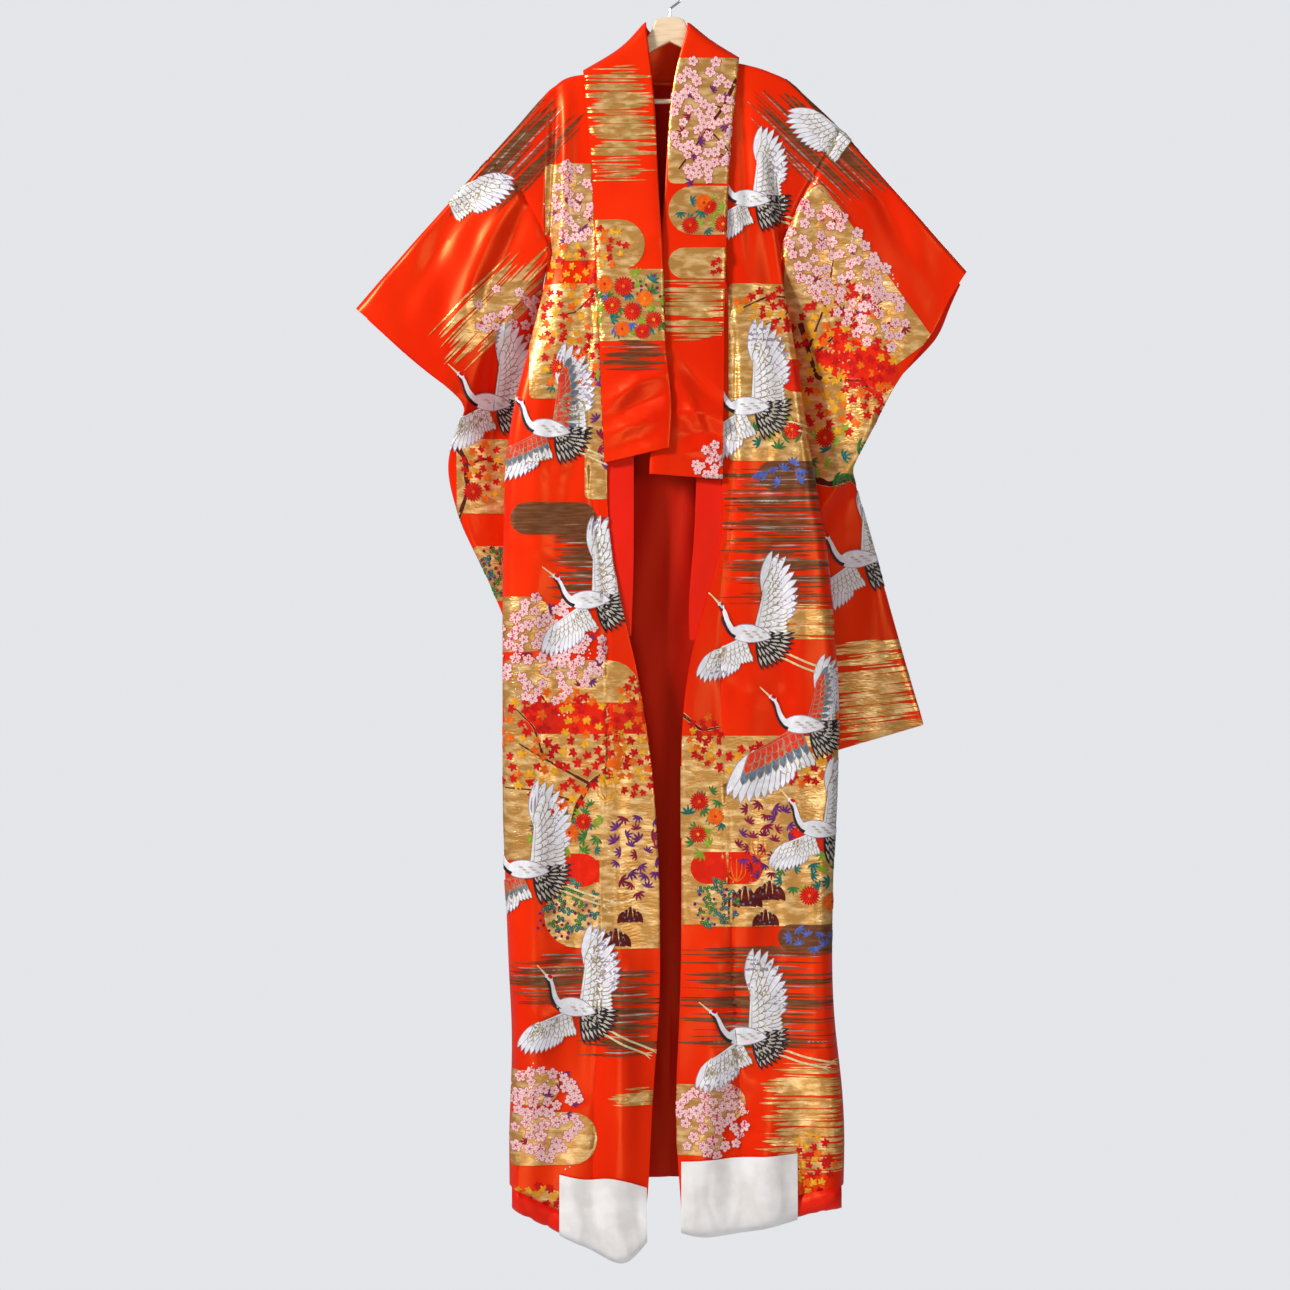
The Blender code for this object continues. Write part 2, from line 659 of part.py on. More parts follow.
def hem_roll(side, part):
    """Closed oval sections of the padded roll that hangs below one hem."""
    line = hem_path(side, part)
    line[0, 0] += SIGN[side] * SEAM_GAP / 2
    turn = np.arange(ROLL_SIDES) * 2 * math.pi / ROLL_SIDES
    rings = []
    for point in line:
        back = point[1] + ROLL_DEPTH / 2 * np.sin(turn)
        drop = point[2] - ROLL_HEIGHT / 2 * np.cos(turn)
        rings.append(np.stack([np.full(ROLL_SIDES, point[0]), back, drop], axis=1))
    return np.array(rings)


def hem_guard(side):
    """A white cloth folded round the hem's corner, over the roll: front leg, bottom and back leg."""
    path = hem_path(side, "front")
    top = GUARD_UPPER[side]
    path = path[(path[:, 0] > top[0].across) & (path[:, 0] < top[-1].across)]
    across, roll_back, roll_drop = path.T
    upper = look(top, "across", "drop", across)
    hem = roll_drop - ROLL_HEIGHT / 2
    cloth = roll_back - FRONT_ROLL_BACK
    deep = ROLL_DEPTH / 2 + GUARD_CLEAR
    tall = ROLL_HEIGHT / 2 + GUARD_CLEAR
    legs = []
    for sign in (-1, 1):
        leg = [
            (cloth + sign * GUARD_TOP, upper),
            (cloth + sign * GUARD_MIDDLE, mix(upper, hem, 0.55)),
            (roll_back + sign * deep, hem + 2),
            (roll_back + sign * deep, roll_drop + 3),
            (roll_back + sign * deep * 0.75, roll_drop + tall * 0.72),
        ]
        legs.append(leg)
    bottom = [(roll_back, roll_drop + tall)]
    rows_down = legs[0] + bottom + legs[1][::-1]
    return np.array([np.stack([across, back, drop], axis=1) for back, drop in rows_down])


def material(kind):
    name = f"{kind}_material"
    found = bpy.data.materials.get(name)
    if found:
        return found
    made = bpy.data.materials.new(name)
    made.use_nodes = True
    shader = made.node_tree.nodes["Principled BSDF"]
    colour, rough = COLOURS[kind]
    shader.inputs["Base Color"].default_value = (*colour, 1)
    shader.inputs["Roughness"].default_value = rough
    shader.inputs["Metallic"].default_value = 1.0 if kind == "steel" else 0.0
    return made


def place(point):
    """Millimetres across, back and drop as metres in the part's frame."""
    return (point[0] * MM, point[1] * MM, -point[2] * MM)


def add_object(name, mesh, kind):
    made = bpy.data.objects.new(name, mesh)
    mesh.materials.append(material(kind))
    for polygon in mesh.polygons:
        polygon.use_smooth = True
    robe.objects.link(made)
    return made


def sheet(name, grid, kind, wall=WALL):
    """A wall of even thickness round a grid of points."""
    count, width = grid.shape[:2]
    points = [place(point) for point in grid.reshape(-1, 3)]
    faces = []
    for i in range(count - 1):
        for j in range(width - 1):
            first = i * width + j
            faces.append((first, first + 1, first + width + 1, first + width))
    mesh = bpy.data.meshes.new(name)
    mesh.from_pydata(points, [], faces)
    made = add_object(name, mesh, kind)
    solid = made.modifiers.new("wall", "SOLIDIFY")
    solid.thickness = wall * MM
    solid.offset = 0
    solid.use_even_offset = True
    solid.use_quality_normals = True
    return made


def tube(name, rings, kind):
    """A closed solid through closed sections, capped at both ends."""
    count, width = rings.shape[:2]
    shape = bmesh.new()
    vertices = [[shape.verts.new(place(point)) for point in ring] for ring in rings]
    for i in range(count - 1):
        for j in range(width):
            k = (j + 1) % width
            shape.faces.new((vertices[i][j], vertices[i][k], vertices[i + 1][k], vertices[i + 1][j]))
    shape.faces.new(vertices[0][::-1])
    shape.faces.new(vertices[-1])
    bmesh.ops.recalc_face_normals(shape, faces=shape.faces)
    mesh = bpy.data.meshes.new(name)
    shape.to_mesh(mesh)
    shape.free()
    return add_object(name, mesh, kind)


def make_body():
    for side in ("left", "right"):
        sheet(f"front_{side}", front_panel(side), "face")
        sheet(f"front_strip_{side}", strip_panel(side), "face")
        sheet(f"back_{side}", back_panel(side), "face")
        sheet(f"lining_back_{side}", back_lining(side), "inner")
        sheet(f"lining_front_{side}", turned_lining(side), "lining")


def make_collar():
    for side in ("left", "right"):
        sheet(f"collar_{side}", collar_band(side), "face", COLLAR_WALL)
    sheet("collar_neck", collar_neck(), "face", 2 * COLLAR_HALF)


def make_sleeves():
    for side, reach in (("left", 3.0), ("right", 10.0)):
        sheet(f"sleeve_{side}_front", sleeve_layer(side, -1), "face")
        sheet(f"sleeve_{side}_back", sleeve_layer(side, 1), "face")
        sheet(f"cuff_lining_{side}", cuff_lining(side, reach), "lining")


def make_hem():
    for side in ("left", "right"):
        for part in ("front", "back"):
            tube(f"hem_roll_{part}_{side}", hem_roll(side, part), "lining")
        sheet(f"hem_guard_{side}", hem_guard(side), "guard")


def hanger_outline():
    """Right half of the hanger's outline, from the middle of its top round to the middle of its underside."""
    top = [(0, 65), (14, 66.5), (23, 70), (26, 77), (31, 90), (44, 107), (70, 124), (109, 146), (137, 163)]
    end = [(165, 169), (192, 185.2), (HANGER_END, 193), (199, 205), (190, 208), (178, 206), (176, 196)]
    under = [(150, 184), (110, 166), (60, 140), (26, 118), (0, 105)]
    return top + end + under


def make_hanger():
    """Flat wooden hanger, a curve's outline filled and rounded over."""
    half = hanger_outline()
    outline = half + [(-x, drop) for x, drop in half[-2:0:-1]]
    curve = bpy.data.curves.new("hanger_wood", "CURVE")
    curve.dimensions = "2D"
    curve.fill_mode = "BOTH"
    curve.extrude = (HANGER_THICK / 2 - HANGER_BEVEL) * MM
    curve.bevel_depth = HANGER_BEVEL * MM
    curve.offset = -HANGER_BEVEL * MM
    curve.bevel_resolution = 1
    spline = curve.splines.new("POLY")
    spline.points.add(len(outline) - 1)
    for point, (x, drop) in zip(spline.points, outline):
        point.co = (x * MM, -drop * MM, 0, 1)
    spline.use_cyclic_u = True
    wood = bpy.data.objects.new("hanger_wood", curve)
    wood.rotation_euler = (math.radians(90), 0, 0)
    curve.materials.append(material("wood"))
    robe.objects.link(wood)
    rod("hanger_bar", [(-BAR_HALF, 0, BAR_DROP), (BAR_HALF, 0, BAR_DROP)], BAR_ROD, "wood")


def make_hook():
    """Wire hook, whose inner top is the origin, on a short straight stem."""
    radius = HOOK_INNER + HOOK_ROD / 2
    wire = [(0, 0, hanger_outline()[0][1] - SEAM_GAP), (0, 0, HOOK_STEM)]
    for degrees in HOOK_TURN:
        turn = math.radians(degrees)
        wire.append((radius * math.cos(turn), 0, HOOK_INNER - radius * math.sin(turn)))
    rod("hanger_hook", wire, HOOK_ROD, "steel")


def rod(name, points, thick, kind):
    """A round rod through points, as a curve with filled caps."""
    curve = bpy.data.curves.new(name, "CURVE")
    curve.materials.append(material(kind))
    curve.dimensions = "3D"
    curve.bevel_depth = thick / 2 * MM
    curve.bevel_resolution = 2
    curve.use_fill_caps = True
    spline = curve.splines.new("POLY")
    spline.points.add(len(points) - 1)
    for point, where in zip(spline.points, points):
        point.co = (*place(where), 1)
    robe.objects.link(bpy.data.objects.new(name, curve))


for old in list(bpy.data.objects):
    bpy.data.objects.remove(old)
robe = bpy.data.collections.new("wedding_over_robe")
bpy.context.scene.collection.children.link(robe)
make_body()
make_collar()
make_sleeves()
make_hem()
make_hanger()
make_hook()
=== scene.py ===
"""Looks of the wedding over-robe on its hanger: satin, woven gold and birds, linings, padded hem and wood.

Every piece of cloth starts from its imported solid, smoothed and creased. The pattern is drawn flat, in
millimetres across and down from the hook as seen from the front, and laid on the cloth from front and back.
"""

import math
import random

import bmesh
import bpy
import numpy as np
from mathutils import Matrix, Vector
from mathutils.bvhtree import BVHTree


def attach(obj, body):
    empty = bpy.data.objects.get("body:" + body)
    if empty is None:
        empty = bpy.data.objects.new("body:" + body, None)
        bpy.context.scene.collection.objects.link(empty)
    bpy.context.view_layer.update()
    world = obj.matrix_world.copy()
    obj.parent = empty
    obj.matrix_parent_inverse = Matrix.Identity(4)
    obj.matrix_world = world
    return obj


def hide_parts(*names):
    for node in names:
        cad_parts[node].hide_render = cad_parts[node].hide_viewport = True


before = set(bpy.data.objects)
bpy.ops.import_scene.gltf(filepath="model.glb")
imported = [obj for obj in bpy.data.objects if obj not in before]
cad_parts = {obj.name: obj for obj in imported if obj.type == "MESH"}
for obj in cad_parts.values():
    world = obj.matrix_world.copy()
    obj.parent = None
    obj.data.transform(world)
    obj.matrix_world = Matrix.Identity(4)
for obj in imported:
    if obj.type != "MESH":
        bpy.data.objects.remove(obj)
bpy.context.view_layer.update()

MM = 0.001

# Camera, in mm: the photograph's frame is VIEW_WIDTH wide at the robe
CAMERA_ACROSS = -40.0
CAMERA_DROP = 1069.8
CAMERA_AWAY = 4530.0
VIEW_WIDTH = 2064.0
SENSOR_MM = 36.0
FLOOR_DROP = 2900.0
FLOOR_RADIUS = 3.0  # m, so that the floor stays out of the photograph's frame
FLOOR_PAINT = (0.70, 0.715, 0.74)

BACKDROP = (0.775, 0.79, 0.82)
AMBIENT = 0.19  # the world's light on the robe; the room round it is seen but lights nothing
ROOM = 14.0  # m
LIGHTS = (  # name, place and size in m, and power in W of each soft light
    ("key", (-3.0, -2.1, 1.2), 0.8, 192.0),
    ("fill", (2.6, -4.2, -0.4), 1.8, 50.0),
    ("low", (-0.4, -3.6, -2.6), 1.4, 22.0),
    ("behind", (1.0, 4.2, 0.5), 2.4, 90.0),
)

VERMILION = (0.88, 0.024, 0.002)
VERMILION_DEEP = (0.72, 0.010, 0.001)
BRIGHT_RED = (0.84, 0.004, 0.006)
BRIGHT_RED_DEEP = (0.66, 0.002, 0.003)
# Painted shade: the back lining is the same red cloth as the bright lining above, painted darker because it
# lies deep inside the robe
PAINTED_SHADE_LINING_RED = (0.62, 0.002, 0.004)
PAINTED_SHADE_LINING_RED_DEEP = (0.50, 0.001, 0.002)
SATIN_SHINE = (0.9, (1.0, 0.30, 0.07))  # strength and colour
THREAD_SHINE = 0.35

SIDES = ("left", "right")
FACE_FRONT = [f"{part}_{side}" for part in ("front", "front_strip") for side in SIDES]
FACE_BACK = [f"back_{side}" for side in SIDES]
COLLARS = ["collar_left", "collar_right", "collar_neck"]
SLEEVES = [f"sleeve_{side}_{layer}" for side in SIDES for layer in ("front", "back")]

# Cloth meshes, in mm: the longest edge, shorter on the fronts and at the padded hem
FINEST = 13
FINEST_FRONT = 10
FINEST_HEM = 6
MERGED = 0.02  # packed points nearer than this are one
JOINED_FLAT = math.radians(60)  # triangles that bend less than this become one face
JOINED_SHAPE = math.radians(100)
SHARP = math.radians(50)  # an edge that bends more stays sharp
SEAM_REACH = 3.6  # how far a border moves to close its seam, first as packed and then as creased
SEAM_REACH_CREASED = 6.0
SEAM_CLOSED = 0.01  # a border this near already lies on its neighbour
SEAM_PULL = 1.6  # how soon a border within reach is moved all the way
SUNK_REACH = 12
SUNK_WIDTH = 4
SHOULDER_DROP = 200
SIDE_SEAM = 278  # across, from the middle
WAVES = 7
WAVE_LENGTH = (60, 170)
WAVE_LEAN = 0.35
WAVE_DRIFT = (250, 700)
PUCKER_DEPTH = (-2.6, 0.5)
PUCKER_WIDTH = (3.5, 9.0)
PUCKER_APART = (7, 24)
PUCKER_LEAN = 0.5

# Pattern, in mm. A drawing is a list of flat pieces: a grid of points, a colour, a height and what it lies on
CELL = 7.0  # longest step of a flat piece, so that it follows the cloth
LIFT = 0.55  # how far the lowest pattern stands off the cloth
STEP = 0.03  # how much higher each next zone lies, over STEPS zones in turn
STEPS = 12
LEVELS = {  # how high each kind of motif lies over the lowest pattern
    "red": 0.4,
    "branch_edge": 0.42,
    "branch": 0.48,
    "low": 0.55,
    "motif": 0.7,
    "flower": 0.8,
    "bird": 0.95,
}
INNER = 0.06  # how much higher a feather lies than its own edge
MOST_STEP = 9.0  # deepest step in the cloth that one flat piece may bridge
MOST_HIDDEN = 0.3  # how far the cloth may come through the middle of a flat piece
MOST_SPLITS = 2  # how often a flat piece is cut in four to follow the cloth
STEEPEST = 0.15  # cloth that faces the viewer less than this takes no pattern
APART = 1.15  # least distance between scattered motifs, in their size
MIST_FULL = {"woven_gold": 0.85, "brown_mist": 0.3}  # share of broad streaks in the middle of a band
# Thickness of a broad or fine streak, and its length as a share of the band
STREAKS = {True: ((2.5, 6.5), (0.75, 1.12)), False: ((1.2, 2.8), (0.3, 1.0))}
LOBE_CORNER = 400.0  # corner radius, cut down to half the lobe's own height
BLOCK_CORNER = 9.0
UP_FAN = (1, 0, 76)  # a crane's wings: trailing side, first angle and spread of the flight feathers
LOW_FAN = (-1, 30, 48)
LOW_ANGLE = 152
FLIGHT_FEATHER = ("feather", "lilac_line", "white_silk", 0.115, 0.098, 1.5)  # looks that feather() draws
ARM_FEATHER = ("plume", "olive_line", "white_silk", 0.1, 0.08, 1)
ZONE_COLOURS = {"gold": "woven_gold", "brown": "brown_mist", "red": "face_red"}
COVERTS = {"white": ("white_silk", "white_silk"), "red": ("coral_silk", "slate_silk")}
LOW_MOTIFS = ("grass", "rock", "green_fan", "blue_fan", "purple_fan", "buds")

# Pattern tones: colour, deeper colour, then grain, roughness, metal and relief where not the usual ones
PATTERN_TONES = {
    # Woven gold: the deeper colour is its own ochre, and the first, paler colour is painted highlight, laid
    # in level streaky patches for light on its crinkles
    "woven_gold": ((0.98, 0.62, 0.26), (0.62, 0.3, 0.075), (40, 40, 110), 0.3, 0.5, 0.9),
    "gold_line": ((0.8, 0.56, 0.22), (0.56, 0.34, 0.1), 160, 0.4, 0.35, 0.4),
    "brown_mist": ((0.21, 0.085, 0.035), (0.135, 0.042, 0.014), (30, 30, 260), 0.36, 0.2, 0.4),
    "silver_mist": ((0.5, 0.4, 0.34), (0.22, 0.1, 0.05), (30, 30, 260), 0.34, 0.35, 0.4),
    "face_red": ((0.82, 0.022, 0.003), (0.7, 0.014, 0.002), 60, 0.45, 0.0, 0.15),
    "white_silk": ((0.84, 0.82, 0.83), (0.72, 0.69, 0.72), 90),
    "lilac_line": ((0.42, 0.35, 0.42), (0.3, 0.24, 0.3), 160),
    "cream_silk": ((0.6, 0.54, 0.46), (0.46, 0.4, 0.33)),
    "black_silk": ((0.02, 0.015, 0.017), (0.008, 0.006, 0.007), 120, 0.45),
    "red_silk": ((0.66, 0.01, 0.006), (0.5, 0.005, 0.004)),
    "coral_silk": ((0.78, 0.07, 0.035), (0.64, 0.03, 0.015)),
    "slate_silk": ((0.17, 0.22, 0.3), (0.1, 0.13, 0.19)),
    "olive_line": ((0.46, 0.37, 0.22), (0.3, 0.23, 0.12), 160, 0.45, 0.2),
    "straw_silk": ((0.82, 0.68, 0.38), (0.66, 0.5, 0.24), 160, 0.45, 0.15),
    "blush_silk": ((0.86, 0.62, 0.6), (0.82, 0.5, 0.48), 140),
    "rose_line": ((0.62, 0.07, 0.09), (0.5, 0.04, 0.06), 160),
    "violet_silk": ((0.17, 0.035, 0.18), (0.11, 0.015, 0.11)),
    "plum_silk": ((0.3, 0.015, 0.06), (0.2, 0.008, 0.035)),
    "maroon_silk": ((0.14, 0.014, 0.01), (0.07, 0.006, 0.005), (60, 60, 160), 0.5, 0.0, 0.4),
    "orange_silk": ((0.84, 0.17, 0.008), (0.74, 0.1, 0.004)),
    "amber_silk": ((0.84, 0.42, 0.03), (0.72, 0.28, 0.01)),
    "lime_silk": ((0.3, 0.42, 0.04), (0.2, 0.3, 0.02)),
    "leaf_silk": ((0.07, 0.22, 0.05), (0.03, 0.13, 0.03)),
    "teal_silk": ((0.03, 0.19, 0.15), (0.012, 0.11, 0.09)),
    "blue_silk": ((0.12, 0.17, 0.48), (0.07, 0.1, 0.32)),
}

# Which nodes each cloth of the pattern may lie on
ON = {
    "collar_left": {"collar_left"},
    "collar_right": {"collar_right"},
    "body_left": {"front_left", "front_strip_left"},
    "body_right": {"front_right", "front_strip_right"},
    "sleeve_left": {"sleeve_left_front"},
    "sleeve_right": {"sleeve_right_front"},
    "arm_left": {"sleeve_left_front", "front_left"},
    "arm_right": {"sleeve_right_front", "front_right"},
    "back": {"back_left", "back_right"},
    "sleeve_left_behind": {"sleeve_left_back"},
    "sleeve_right_behind": {"sleeve_right_back"},
}

# Zones of the front, cloth by cloth: kind, across from and to, drop from and to, and turn if it has one
FRONT_ZONES = (
    ("collar_left", (
        ("gold_mist", -139, -24, 147, 331),
        ("gold_lobe", -160, -40, 393, 475),
        ("gold_block", -128, 3, 473, 587),
        ("brown_mist", -112, 3, 587, 633),
    )),
    ("collar_right", (
        ("gold_block", -3, 115, 134, 335),
        ("gold_lobe", -3, 147, 339, 417),
        ("gold_lobe", -3, 147, 438, 487),
        ("gold_mist", -24, 112, 491, 587),
    )),
    ("body_left", (
        ("gold_block", -200, -112, 302, 457),
        ("gold_block", -224, -93, 494, 678),
        ("brown_lobe", -254, -117, 843, 894),
        ("brown_mist", -195, -93, 867, 998),
        ("gold_block", -136, -93, 646, 838),
        ("gold_lobe", -320, -182, 993, 1081),
        ("gold_lobe", -304, -48, 1094, 1193),
        ("gold_block", -280, 16, 1193, 1411),
        ("red_lobe", -232, 16, 1161, 1211),
        ("red_lobe", -214, -112, 1401, 1454),
        ("gold_lobe", -200, 32, 1446, 1551),
        ("gold_block", -112, 0, 1318, 1551),
        ("brown_mist", -264, -93, 1561, 1638),
        ("brown_mist", -144, -3, 1587, 1721),
        ("gold_lobe", -304, -176, 1743, 1798),
        ("gold_lobe", -304, -115, 1811, 1894),
        ("gold_mist", -93, -3, 1772, 1801),
        ("gold_block", -264, -173, 1935, 1967),
    )),
    ("body_right", (
        ("gold_block", 93, 280, 494, 777),
        ("red_lobe", 173, 304, 614, 667),
        ("brown_lobe", 139, 288, 777, 822),
        ("brown_mist", 72, 280, 790, 1004),
        ("gold_mist", 147, 280, 1006, 1062),
        ("gold_block", 10, 280, 1214, 1513),
        ("red_lobe", 32, 147, 1398, 1449),
        ("red_lobe", 189, 304, 1350, 1401),
        ("gold_block", 54, 208, 1449, 1516),
        ("brown_lobe", 171, 304, 1513, 1555),
        ("brown_mist", 3, 280, 1550, 1718),
        ("gold_mist", 152, 288, 1734, 1913),
        ("gold_lobe", -48, 120, 1766, 1827),
        ("gold_lobe", -48, 83, 1827, 1878),
    )),
    ("arm_left", (
        ("brown_mist", -380, -150, 210, 350, -46),
    )),
    ("sleeve_left", (
        ("gold_mist", -390, -180, 490, 570, -46),
        ("gold_block", -344, -256, 737, 857),
        ("gold_block", -320, -253, 910, 998),
    )),
    ("arm_right", (
        ("brown_mist", 120, 370, 200, 330, 44),
    )),
    ("sleeve_right", (
        ("gold_block", 130, 436, 432, 548, 54),
        ("gold_block", 184, 288, 438, 806),
        ("gold_block", 256, 360, 654, 806),
        ("red_lobe", 227, 368, 579, 654, 33),
        ("gold_mist", 253, 424, 1062, 1241, -6),
    )),
)

# Cranes: cloth, across, drop, size, turn, upper wing's angle and length, lower wing's length, coverts of both
FRONT_CRANES = (
    ("sleeve_left", -288, 678, 0.95, 0, -82, 129, 104, "white", "white"),
    ("body_left", -192, 726, 1.0, 4, -86, 133, 109, "red", "red"),
    ("body_left", -128, 998, 1.0, -6, -84, 129, 104, "white", "white"),
    ("body_left", -226, 1425, 1.0, 0, -86, 136, 104, "white", "red"),
    ("body_left", -150, 1645, 1.0, 8, -90, 129, 100, "white", "white"),
    ("body_right", 128, 358, 0.95, 0, -84, 117, 94, "white", "white"),
    ("body_right", 125, 690, 1.0, -4, -84, 133, 109, "white", "white"),
    ("body_right", 128, 1052, 1.0, 4, -82, 129, 100, "white", "white"),
    ("body_right", 212, 1196, 1.0, 0, -76, 109, 157, "red", "red"),
    ("body_right", 236, 1362, 0.95, 6, -88, 117, 94, "white", "white"),
    ("body_right", 120, 1690, 1.0, -4, -84, 133, 104, "white", "white"),
    ("sleeve_right", 306, 930, 1.0, -6, -84, 125, 104, "white", "white"),
)

# Single wings on the sleeves: cloth, across, drop, angle, length, trailing side, first angle, spread
FRONT_WINGS = (
    ("arm_left", -352, 352, -30, 112, 1, 30, 56),
    ("arm_right", 286, 262, -140, 112, -1, 30, 56),
)

# Scattered motifs: kind, cloth, across, drop, the patch's width and height, count, size, and turn if not 0
FRONT_MOTIFS = (
    ("blossom", "collar_right", 54, 232, 108, 196, 58, 9),
    ("buds", "collar_right", 50, 240, 112, 202, 10, 7),
    ("purple_fan", "collar_right", 55, 250, 101, 190, 11, 13),
    ("blossom", "collar_right", 68, 780, 56, 60, 16, 8),
    ("blossom", "body_left", -152, 366, 70, 134, 26, 9),
    ("buds", "body_left", -148, 366, 90, 134, 6, 7),
    ("purple_fan", "body_left", -148, 366, 90, 134, 9, 12),
    ("maple", "body_left", -156, 560, 101, 269, 88, 10),
    ("blossom", "body_left", -190, 1076, 170, 170, 66, 10),
    ("buds", "body_left", -180, 1086, 179, 179, 14, 7),
    ("purple_fan", "body_left", -180, 1086, 157, 157, 11, 13),
    ("maple", "body_left", -180, 1232, 210, 190, 100, 11),
    ("maple", "body_left", -56, 1220, 90, 190, 68, 10),
    ("blossom", "body_left", -206, 1814, 140, 150, 50, 10),
    ("buds", "body_left", -192, 1814, 134, 168, 10, 7),
    ("purple_fan", "body_left", -192, 1814, 112, 146, 9, 13),
    ("maple", "body_left", -216, 1946, 90, 40, 25, 10),
    ("clover", "body_left", -154, 1484, 90, 90, 27, 7),
    ("violet_dots", "body_left", -160, 1500, 112, 78, 34, 6),
    ("green_fan", "body_left", -128, 1358, 45, 90, 12, 14),
    ("purple_fan", "body_left", -52, 1398, 80, 130, 30, 14),
    ("rock", "body_left", -74, 1512, 56, 56, 4, 27),
    ("grass", "body_left", -90, 1290, 45, 67, 4, 40),
    ("maple", "body_right", 170, 1260, 180, 70, 54, 11),
    ("maple", "collar_right", 90, 470, 50, 40, 8, 9),
    ("maple", "body_right", 188, 534, 168, 67, 45, 10),
    ("green_fan", "body_right", 186, 730, 112, 67, 12, 16),
    ("purple_fan", "body_right", 156, 630, 45, 90, 9, 18),
    ("blue_fan", "body_right", 190, 800, 110, 36, 18, 14),
    ("maple", "body_right", 56, 1220, 56, 78, 29, 9),
    ("grass", "body_right", 116, 1424, 56, 56, 8, 42),
    ("clover", "body_right", 74, 1480, 67, 78, 24, 7),
    ("violet_dots", "body_right", 74, 1480, 90, 67, 24, 6),
    ("rock", "body_right", 144, 1482, 67, 56, 4, 29),
    ("purple_fan", "body_right", 150, 1376, 90, 130, 34, 14),
    ("blue_fan", "body_right", 224, 1533, 90, 34, 16, 14),
    ("green_fan", "body_right", 216, 1430, 90, 78, 14, 15),
    ("blossom", "body_right", 66, 1822, 112, 120, 38, 10),
    ("buds", "body_right", 68, 1822, 112, 123, 8, 7),
    ("maple", "body_right", 226, 1890, 67, 90, 34, 10),
    ("blossom", "sleeve_right", 276, 476, 290, 124, 78, 10, 52),
    ("buds", "sleeve_right", 276, 476, 310, 140, 20, 7, 52),
    ("purple_fan", "sleeve_right", 276, 476, 280, 120, 16, 13, 52),
    ("maple", "sleeve_right", 270, 614, 179, 235, 122, 11),
    ("green_fan", "sleeve_right", 264, 764, 101, 90, 14, 16),
    ("violet_dots", "sleeve_left", -286, 952, 56, 90, 29, 6),
    ("clover", "sleeve_left", -286, 952, 49, 78, 15, 7),
    ("maple", "sleeve_left", -300, 790, 67, 90, 34, 10),
    ("blossom", "sleeve_left", -260, 540, 112, 90, 19, 9),
    ("violet_dots", "collar_left", -30, 500, 60, 40, 14, 6),
    ("green_fan", "collar_left", -62, 530, 118, 100, 26, 15),
    ("blue_fan", "collar_left", -80, 540, 80, 70, 5, 14),
    ("purple_fan", "body_left", -104, 690, 30, 200, 12, 15),
    ("green_fan", "body_left", -176, 1360, 100, 90, 16, 15),
    ("green_fan", "body_right", 56, 1350, 60, 100, 12, 15),
    ("green_fan", "collar_right", 60, 384, 100, 50, 12, 14),
    ("green_fan", "body_left", -156, 640, 80, 60, 9, 15),
    ("maple", "collar_left", -110, 436, 80, 70, 24, 9),
)

# Flowers of the front: cloth, across, drop, size, petals' silk and line's silk
FRONT_FLOWERS = (
    ("collar_left", -104, 496, 14, "orange", "red"),
    ("collar_left", -74, 500, 16, "red", "orange"),
    ("collar_left", -40, 520, 14, "orange", "amber"),
    ("collar_left", -92, 530, 15, "red", "amber"),
    ("collar_left", -60, 540, 15, "red", "orange"),
    ("collar_left", -26, 554, 14, "red", "amber"),
    ("collar_left", -76, 568, 13, "orange", "red"),
    ("collar_left", -44, 572, 13, "red", "orange"),
    ("collar_right", 62, 372, 13, "red", "orange"),
    ("body_left", -206, 1366, 14, "red", "amber"),
    ("body_left", -174, 1326, 14, "orange", "red"),
    ("body_left", -138, 1350, 14, "red", "orange"),
    ("body_right", 46, 1318, 15, "red", "orange"),
    ("body_right", 72, 1342, 14, "orange", "red"),
    ("body_right", 44, 1370, 14, "red", "amber"),
    ("body_left", -146, 610, 14, "orange", "red"),
    ("body_left", -144, 652, 14, "red", "orange"),
    ("collar_right", 54, 366, 15, "orange", "red"),
    ("collar_right", 84, 400, 14, "red", "amber"),
    ("collar_right", 32, 402, 14, "red", "orange"),
    ("body_left", -176, 628, 16, "red", "amber"),
    ("body_left", -190, 1336, 17, "red", "orange"),
    ("body_left", -160, 1368, 16, "orange", "red"),
    ("body_right", 194, 727, 16, "red", "orange"),
    ("body_right", 221, 1467, 16, "red", "orange"),
    ("body_right", 256, 1478, 15, "orange", "red"),
    ("sleeve_right", 250, 736, 16, "red", "orange"),
    ("sleeve_left", -318, 822, 16, "red", "orange"),
)

